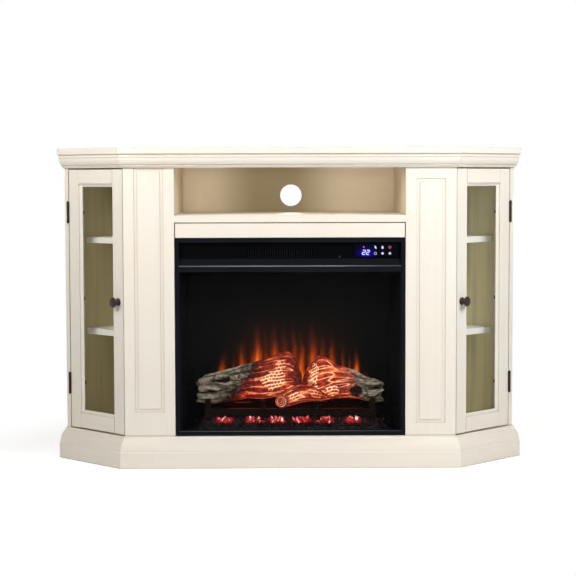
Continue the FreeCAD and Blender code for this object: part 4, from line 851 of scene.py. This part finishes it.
# Thin reflections of the fire below the logs: height, left and right end in millimetres, and strength
STREAKS = ((131.5, -176, -30, 0.8), (131.5, 62, 196, 0.6), (131.5, -30, 62, 0.25), (149.0, -152, -98, 0.9),
           (150.0, 58, 104, 0.4))
STREAK_CORE, STREAK_EDGE, STREAK_SOLID = 0.6 * MM, 2.4 * MM, 0.6
STREAK_LIGHT, UNDER_LIGHT = (0.11, 0.014, 0.003), (0.0045, 0.0003, 0.0002)
SCREEN_DARK, SCREEN_PALE = (0.0052, 0.0052, 0.0053), (0.0066, 0.0066, 0.0068)
FLAME_FIRE = (
    (0.0, BLACK), (0.12, (0.012, 0.002, 0.0)), (0.3, (0.050, 0.007, 0.001)), (0.55, (0.24, 0.026, 0.001)),
    (0.8, (0.62, 0.085, 0.003)), (1.0, (0.95, 0.30, 0.03)),
)


def window(s, value, start, full, fading, end, strength=1.0):
    """0 outside start and end, in millimetres, and strength between full and fading."""
    return s.times(s.span(value, start * MM, full * MM), s.span(value, fading * MM, end * MM, strength, 0.0))


def tongues(s, x, z):
    """The brightest of the tongues at x, z: each narrows and fades upward and has a soft foot."""
    brightest = 0.0
    for middle, base, tip, half, strength in FLAMES:
        left = s.math("SUBTRACT", 1.0, s.span(z, base * MM, tip * MM, smooth=False))
        width = s.times(s.math("POWER", s.math("ADD", left, TIP_WIDTH), TONGUE_TAPER), half * MM)
        reach = s.math("DIVIDE", s.math("SUBTRACT", x, middle * MM), width)
        body = s.math("EXPONENT", s.times(reach, reach, -1.0))
        tongue = s.times(body, s.math("POWER", left, TONGUE_FADE), strength,
                         s.span(z, base * MM - FLAME_FOOT, base * MM))
        brightest = s.math("MAXIMUM", brightest, tongue)
    return brightest


def flame_light():
    """The screen's finish: black, with the tongues, a faint painted glow of their light above them, and
    reflections below the logs.
    """
    s = Shader("flame_light_on_screen")
    across, z = s.axis("X"), s.axis("Z")
    drift = s.noise(9.0, detail=1.0, stretch=(1, 1, 1.6))
    sway = s.span(drift, 0.2, 0.8, -FLAME_SWAY, FLAME_SWAY, smooth=False)
    wisp = s.noise(30.0, detail=2.0, stretch=(3.2, 1, 0.5))
    x = s.math("ADD", across, sway)
    # A faint painted glow of the flames' thrown light above the tongues
    haze = s.times(window(s, z, 190, 250, 250, 400, 0.13),
                   s.span(s.math("ABSOLUTE", x), 60 * MM, 190 * MM, 1.0, 0.0))
    total = s.math("ADD", s.times(tongues(s, x, z), s.vary(wisp, 0.75, 1.1)), haze)
    lit = s.ramp(total, *FLAME_FIRE)
    under = s.times(window(s, z, 112, 132, 140, 175),
                    s.span(s.math("ABSOLUTE", across), 150 * MM, 225 * MM, 1.0, 0.0), s.vary(wisp, 0.4, 1.0))
    lit = s.mix(under, lit, UNDER_LIGHT, "ADD")
    for level, start, end, strength in STREAKS:
        thin = s.span(s.away(z, level * MM), STREAK_CORE, STREAK_EDGE, strength, 0.0)
        middle, half = (start + end) / 2 * MM, (end - start) / 2 * MM
        ends = s.span(s.away(across, middle), STREAK_SOLID * half, half, 1.0, 0.0)
        lit = s.mix(s.times(thin, ends), lit, STREAK_LIGHT, "ADD")
    return s.coat(s.mix(wisp, SCREEN_DARK, SCREEN_PALE), 0.6, 0.02, glow=lit)


# Display: digits, key marks, and the blue haze that they throw on the dark panel. Sizes in millimetres

GLOW_X, GLOW_Z, GLOW_WIDE, GLOW_TALL = 194.2, 549.5, 15, 10
GLOW_NONE, GLOW_BLUE = (0.0, 0.0, 0.0035), (0.010, 0.002, 0.48)
PANEL_DARK, PANEL_PALE = (0.0006, 0.0006, 0.0012), (0.0012, 0.0012, 0.0020)
MARK_WHITE, MARK_RED, MARK_BODY = (0.75, 0.78, 1.0), (0.85, 0.10, 0.12), (0.01, 0.01, 0.01)
DIGIT_WIDE, DIGIT_TALL, DIGIT_SLANT, DIGIT_STROKE = 7.2, 11.0, 0.13, 2.3
DIGIT_LEFT, DIGIT_PITCH, DIGIT_FOOT = 184.4, 10.2, 545.6
KEY_LEFT, KEY_MIDDLE, KEY_RIGHT = 218.4, 236.4, 255.2
KEY_HIGH, KEY_LOW = 563.9, 548.2
SUN_RAYS, SUN_REACH, RAY_DOT = 6, 3.3, 0.5
POINTER = ((187.0, 567.2), (187.0, 562.4), (191.4, 564.8))
MARK_PROUD, RING_STROKES = 0.5, 14


def lit_mark(name, colour):
    s = Shader(name)
    tone = s.mix(s.vary(s.noise(500.0), 0.0, 0.25), colour, [c * 0.6 for c in colour])
    return s.coat(MARK_BODY, 0.5, glow=tone)


def panel_finish():
    """Dark, with a blue haze round the digits."""
    s = Shader("panel_window")
    dx = s.math("DIVIDE", s.math("SUBTRACT", s.axis("X"), GLOW_X * MM), GLOW_WIDE * MM)
    dz = s.math("DIVIDE", s.math("SUBTRACT", s.axis("Z"), GLOW_Z * MM), GLOW_TALL * MM)
    reach = s.math("ADD", s.times(dx, dx), s.times(dz, dz))
    lit = s.mix(s.math("EXPONENT", s.times(reach, -1.0)), GLOW_NONE, GLOW_BLUE)
    return s.coat(s.mix(s.noise(60.0), PANEL_DARK, PANEL_PALE), 0.2, 0.01, glow=lit)


def raised(bm, points, front):
    """A flat mark from its outline in X and Z, standing proud of the plane y = front."""
    near = [bm.verts.new((x * MM, front - MARK_PROUD * MM, z * MM)) for x, z in points]
    far = [bm.verts.new((x * MM, front, z * MM)) for x, z in points]
    bm.faces.new(near)
    bm.faces.new(far[::-1])
    skin(bm, (near[::-1], far[::-1]), True)


def oval(x, z, wide, tall, lean=0.0, point=0.0, count=20):
    """Outline of an oval; lean slants it, and point draws its top to a tip."""
    outline = []
    for k in range(count):
        angle = math.tau * k / count
        up = math.sin(angle)
        narrow = 1 - point * max(0, up)
        outline.append((x + wide * math.cos(angle) * narrow + lean * up * tall, z + tall * up))
    return outline


def bar(x0, z0, x1, z1, stroke):
    """Outline of a straight stroke with pointed ends."""
    along = Vector((x1 - x0, z1 - z0)).normalized()
    aside = Vector((-along.y, along.x)) * stroke / 2
    start, end = Vector((x0, z0)), Vector((x1, z1))
    near, far = start + along * stroke / 2, end - along * stroke / 2
    return [tuple(p) for p in (start, near - aside, far - aside, end, far + aside, near + aside)]


def ring_mark(bm, x, z, radius, stroke, front):
    """A ring of short strokes."""
    middle = radius - stroke / 2
    corners = oval(x, z, middle, middle, count=RING_STROKES)
    for start, end in zip(corners, corners[1:] + corners[:1]):
        raised(bm, bar(*start, *end, stroke), front)


def draw_digits(bm, front):
    """Two figures 2, each a line through top, upper right, middle, lower left and foot."""
    for left in (DIGIT_LEFT, DIGIT_LEFT + DIGIT_PITCH):
        corners = [(left + across * DIGIT_WIDE + up * DIGIT_TALL * DIGIT_SLANT, DIGIT_FOOT + up * DIGIT_TALL)
                   for across, up in ((0, 1), (1, 1), (1, 0.5), (0, 0.5), (0, 0), (1, 0))]
        for first, second in zip(corners, corners[1:]):
            raised(bm, bar(*first, *second, DIGIT_STROKE), front)


def draw_white_keys(bm, front):
    """Moon, drop, dot, sun and ring."""
    raised(bm, oval(KEY_LEFT, KEY_HIGH, 2.1, 4.0, lean=-0.35), front)
    raised(bm, oval(KEY_MIDDLE, KEY_HIGH, 2.9, 4.4, point=0.85), front)
    raised(bm, oval(KEY_MIDDLE, KEY_LOW, 3.1, 3.1), front)
    raised(bm, oval(KEY_RIGHT, KEY_LOW, 2.6, 2.6), front)
    for x, z in oval(KEY_RIGHT, KEY_LOW, SUN_REACH, SUN_REACH, count=SUN_RAYS):
        raised(bm, oval(x, z, RAY_DOT, RAY_DOT, count=8), front)
    ring_mark(bm, KEY_LEFT, KEY_LOW, 3.9, 1.1, front)


def draw_red_keys(bm, front):
    """A ring with a stroke across it, and the pointer beside the digits."""
    ring_mark(bm, KEY_RIGHT, KEY_HIGH, 3.8, 1.2, front)
    raised(bm, bar(KEY_RIGHT - 2, KEY_HIGH + 0.7, KEY_RIGHT + 2, KEY_HIGH + 0.7, 1.3), front)
    raised(bm, POINTER, front)


def add_display():
    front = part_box("control_panel")[0][1]
    white, red = lit_mark("lit_white", MARK_WHITE), lit_mark("lit_red", MARK_RED)
    drawn = (("display_digits", draw_digits, white), ("key_marks", draw_white_keys, white),
             ("warm_marks", draw_red_keys, red))
    for name, draw, colour in drawn:
        bm = bmesh.new()
        draw(bm, front)
        from_bmesh(name, bm, colour, "black_panel", False)


# Trim of the insert: satin ledge strip with a painted highlight, a sill line that is a painted highlight,
# sensor. Sizes in millimetres

# Half length, height, reach and thickness, then the colours of the lit and the far end, which paint a
# highlight fading away from the lit end
STRIPS = {
    "ledge": (285, 516.6, 1.6, 3.4, (0.165, 0.175, 0.195), (0.085, 0.095, 0.11)),
    # The sill line is a painted highlight on the trim's lower edge
    "sill_highlight": (287, 92.0, 1.2, 2.2, (0.10, 0.10, 0.11), (0.07, 0.072, 0.08)),
}
STRIP_SUNK, STRIP_FACETS = 0.5, 8
STRIP_LIT, STRIP_FAR, STRIP_SCRATCH = -100 * MM, 260 * MM, (0.02, 0.02, 0.025)
SENSOR_X, SENSOR_Z = 127, 539.5
SENSOR_RINGS = ((3.51, 0), (3.51, 0.5), (2.73, 0.7), (2.47, 0.45), (1.56, 0.9), (0.65, 1.1))
SENSOR_SPOKES = 20


def half_round(x0, x1, y, z, proud, tall):
    """A half-round moulding along X, its back on the plane y, with closed ends."""
    bm = bmesh.new()
    bow = [math.pi * k / STRIP_FACETS for k in range(STRIP_FACETS + 1)]
    left, right = ([bm.verts.new((x, y - proud * math.sin(angle), z + tall / 2 * math.cos(angle)))
                    for angle in bow] for x in (x0, x1))
    skin(bm, (left, right), False)
    bm.faces.new(left[::-1])
    bm.faces.new(right)
    bm.faces.new((left[0], right[0], right[-1], left[-1]))
    return bm


def brushed_strip(name, bright, less_lit_colour):
    """Satin metal, brighter toward the lit left end as a painted highlight."""
    s = Shader(name)
    brushed = s.noise(160.0, stretch=(0.05, 1, 1))
    tone = s.mix(s.span(s.axis("X"), STRIP_LIT, STRIP_FAR), bright, less_lit_colour)
    tone = s.mix(s.span(brushed, 0.35, 0.7, 0.0, 0.25), tone, STRIP_SCRATCH)
    return s.coat(tone, s.vary(brushed, 0.38, 0.5), metallic=0.6)


def face_of(node, x, z):
    """Y of the CAD node's front face at x, z."""
    hit, place, _, _ = NODES[node].ray_cast(Vector((x, -1, z)), Vector((0, 1, 0)))
    return place.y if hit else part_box(node)[0][1]


def add_sensor():
    """The remote control's receiver: a small smoked dome in a rim."""
    front = face_of("control_fascia", SENSOR_X * MM, SENSOR_Z * MM)
    bm = bmesh.new()
    rings = [[bm.verts.new((x * MM, front - out * MM, z * MM))
              for x, z in oval(SENSOR_X, SENSOR_Z, radius, radius, count=SENSOR_SPOKES)]
             for radius, out in SENSOR_RINGS]
    skin(bm, rings, True)
    bm.faces.new(rings[0][::-1])
    bm.faces.new(rings[-1])
    from_bmesh("sensor_eye", bm, moulded("smoked_dome"), "black_panel")


def add_insert_trim():
    add_sensor()
    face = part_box("trim_frame")[0][1]
    for name, (half, level, proud, tall, bright, less_lit_colour) in STRIPS.items():
        bm = half_round(-half * MM, half * MM, face + STRIP_SUNK * MM, level * MM, proud * MM, tall * MM)
        from_bmesh(f"{name}_strip", bm, brushed_strip(f"{name}_satin_painted_highlight", bright, less_lit_colour), "black_steel")


# Small fittings: pane clips behind each door's glass. Sizes in millimetres

CLIP_HEIGHTS = (203, 426, 652)
CLIP_FINGER, CLIP_FOOT, CLIP_EASED = (13, 3, 9), (5, 5, 9), 0.6
FINGER_ALONG, FOOT_ALONG, CLIP_INWARD, FOOT_INWARD = 2, -5, 1.5, 0.5


def add_clips():
    """A clip is a foot on the stile and a finger over the pane."""
    plastic = moulded("clip_plastic")
    for side, sign in SIDES.items():
        low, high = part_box(f"door_glass_{side}")
        edge = Vector((low[0] if sign < 0 else high[0], high[1], 0))
        along = Vector((-sign, -1, 0)).normalized()
        inward = Vector((-sign, 1, 0)).normalized()
        bm = bmesh.new()
        for height in CLIP_HEIGHTS:
            start = edge + inward * CLIP_INWARD * MM + Vector((0, 0, height * MM))
            block(bm, start + along * FINGER_ALONG * MM, along, inward, CLIP_FINGER)
            block(bm, start + along * FOOT_ALONG * MM + inward * FOOT_INWARD * MM, along, inward, CLIP_FOOT)
        bmesh.ops.bevel(bm, geom=bm.edges[:], offset=CLIP_EASED * MM, segments=2, affect="EDGES")
        from_bmesh(f"pane_clips_{side}", bm, plastic, "black_plastic", body=f"door_{side}")


def block(bm, centre, along, inward, size):
    """A box on the door's own directions, its size along, inward and up."""
    long, deep, tall = (s * MM / 2 for s in size)
    corners = [bm.verts.new(centre + along * a + inward * b + Vector((0, 0, c)))
               for a in (-long, long) for b in (-deep, deep) for c in (-tall, tall)]
    bmesh.ops.convex_hull(bm, input=corners)


# Studio

# Place, aim, width and height, power in watts, colour
LAMPS = {
    "front": ((0.2, -4.6, 0.8), (0, 0, 0.4), (2.0, 0.8), 30, WHITE),
    "right": ((1.15, -1.15, 1.35), (0.45, -0.1, 0.7), (0.7, 0.7), 17, WHITE),
    "left": ((-1.15, -1.15, 1.35), (-0.45, -0.1, 1.5), (0.7, 0.7), 17.5, (1.0, 0.965, 0.925)),
    "overhead": ((0, -1.6, 3.2), (0, -0.4, 0), (6.0, 2.0), 18, WHITE),
    "rear": ((0.6, 3.4, 1.6), (0, 0.2, 0.4), (2.4, 1.0), 45, WHITE),
    "bay": ((0, -0.14, 0.752), (0, 0.12, 0.62), (0.5, 0.02), 0.2, WHITE),
}
FILL_TINT, FILL = (1.0, 0.985, 0.96), 0.02
FLOOR_HALF, FLOOR_DARK, FLOOR_PALE = 12, (0.93, 0.93, 0.93), (0.95, 0.95, 0.95)
FLOOR_LIT, FLOOR_WHITE, FLOOR_LIFT = 0.66, 1.0, 0.50
UNDER_X, UNDER_Y = (0.38, 0.40), (0.19, 0.205)


def add_lamps():
    for name, (at, target, size, power, colour) in LAMPS.items():
        data = bpy.data.lights.new(name, "AREA")
        data.shape = "RECTANGLE"
        data.size, data.size_y = size
        data.energy = power
        data.color = colour
        light = in_scene(name, data)
        light.visible_camera = False
        light.location = at
        aim = Vector(target) - Vector(at)
        light.rotation_euler = aim.to_track_quat("-Z", "Y").to_euler()


def add_world():
    """A faint fill, and plain white where the camera sees it."""
    s = Shader("studio", bpy.types.World)
    fill = s.node("Background", {"Color": FILL_TINT, "Strength": FILL})
    white = s.node("Background", {"Color": WHITE, "Strength": 1.0})
    bpy.context.scene.world = s.surface(s.node("MixShader", {0: s.seen(), 1: fill, 2: white}))


def floor_finish():
    """Pale and matte; the camera sees it lifted, and as plain white far off, but not under the cabinet."""
    s = Shader("pale_floor")
    matte = s.node("BsdfDiffuse", {"Color": s.mix(s.noise(2.0), FLOOR_DARK, FLOOR_PALE)})
    white = s.node("Emission", {"Color": WHITE, "Strength": 1.0})
    aside, back = (s.math("ABSOLUTE", s.axis(name)) for name in "XY")
    under = s.times(s.span(aside, *UNDER_X, 1.0, 0.0), s.span(back, *UNDER_Y, 1.0, 0.0))
    seen = s.times(s.seen(), s.math("SUBTRACT", 1.0, under))
    reach = s.node("VectorMath", {0: s.place()}, operation="LENGTH").outputs["Value"]
    lift = s.node("Emission", {"Color": WHITE, "Strength": s.times(seen, FLOOR_LIFT)})
    near = s.node("AddShader", {0: matte, 1: lift})
    share = s.times(seen, s.span(reach, FLOOR_LIT, FLOOR_WHITE))
    return s.surface(s.node("MixShader", {0: share, 1: near, 2: white}))


def add_floor():
    """Pale floor that keeps the object's shadow."""
    mesh = bpy.data.meshes.new("floor")
    corners = [(x * FLOOR_HALF, y * FLOOR_HALF, 0) for x, y in ((-1, -1), (1, -1), (1, 1), (-1, 1))]
    mesh.from_pydata(corners, [], [(0, 1, 2, 3)])
    mesh.materials.append(floor_finish())
    in_scene("floor", mesh)


add_camera()
add_world()
add_floor()
add_lamps()
finish_nodes()
add_clips()
add_logs()
add_embers()
add_display()
add_insert_trim()
bpy.context.scene.view_settings.view_transform = "Standard"
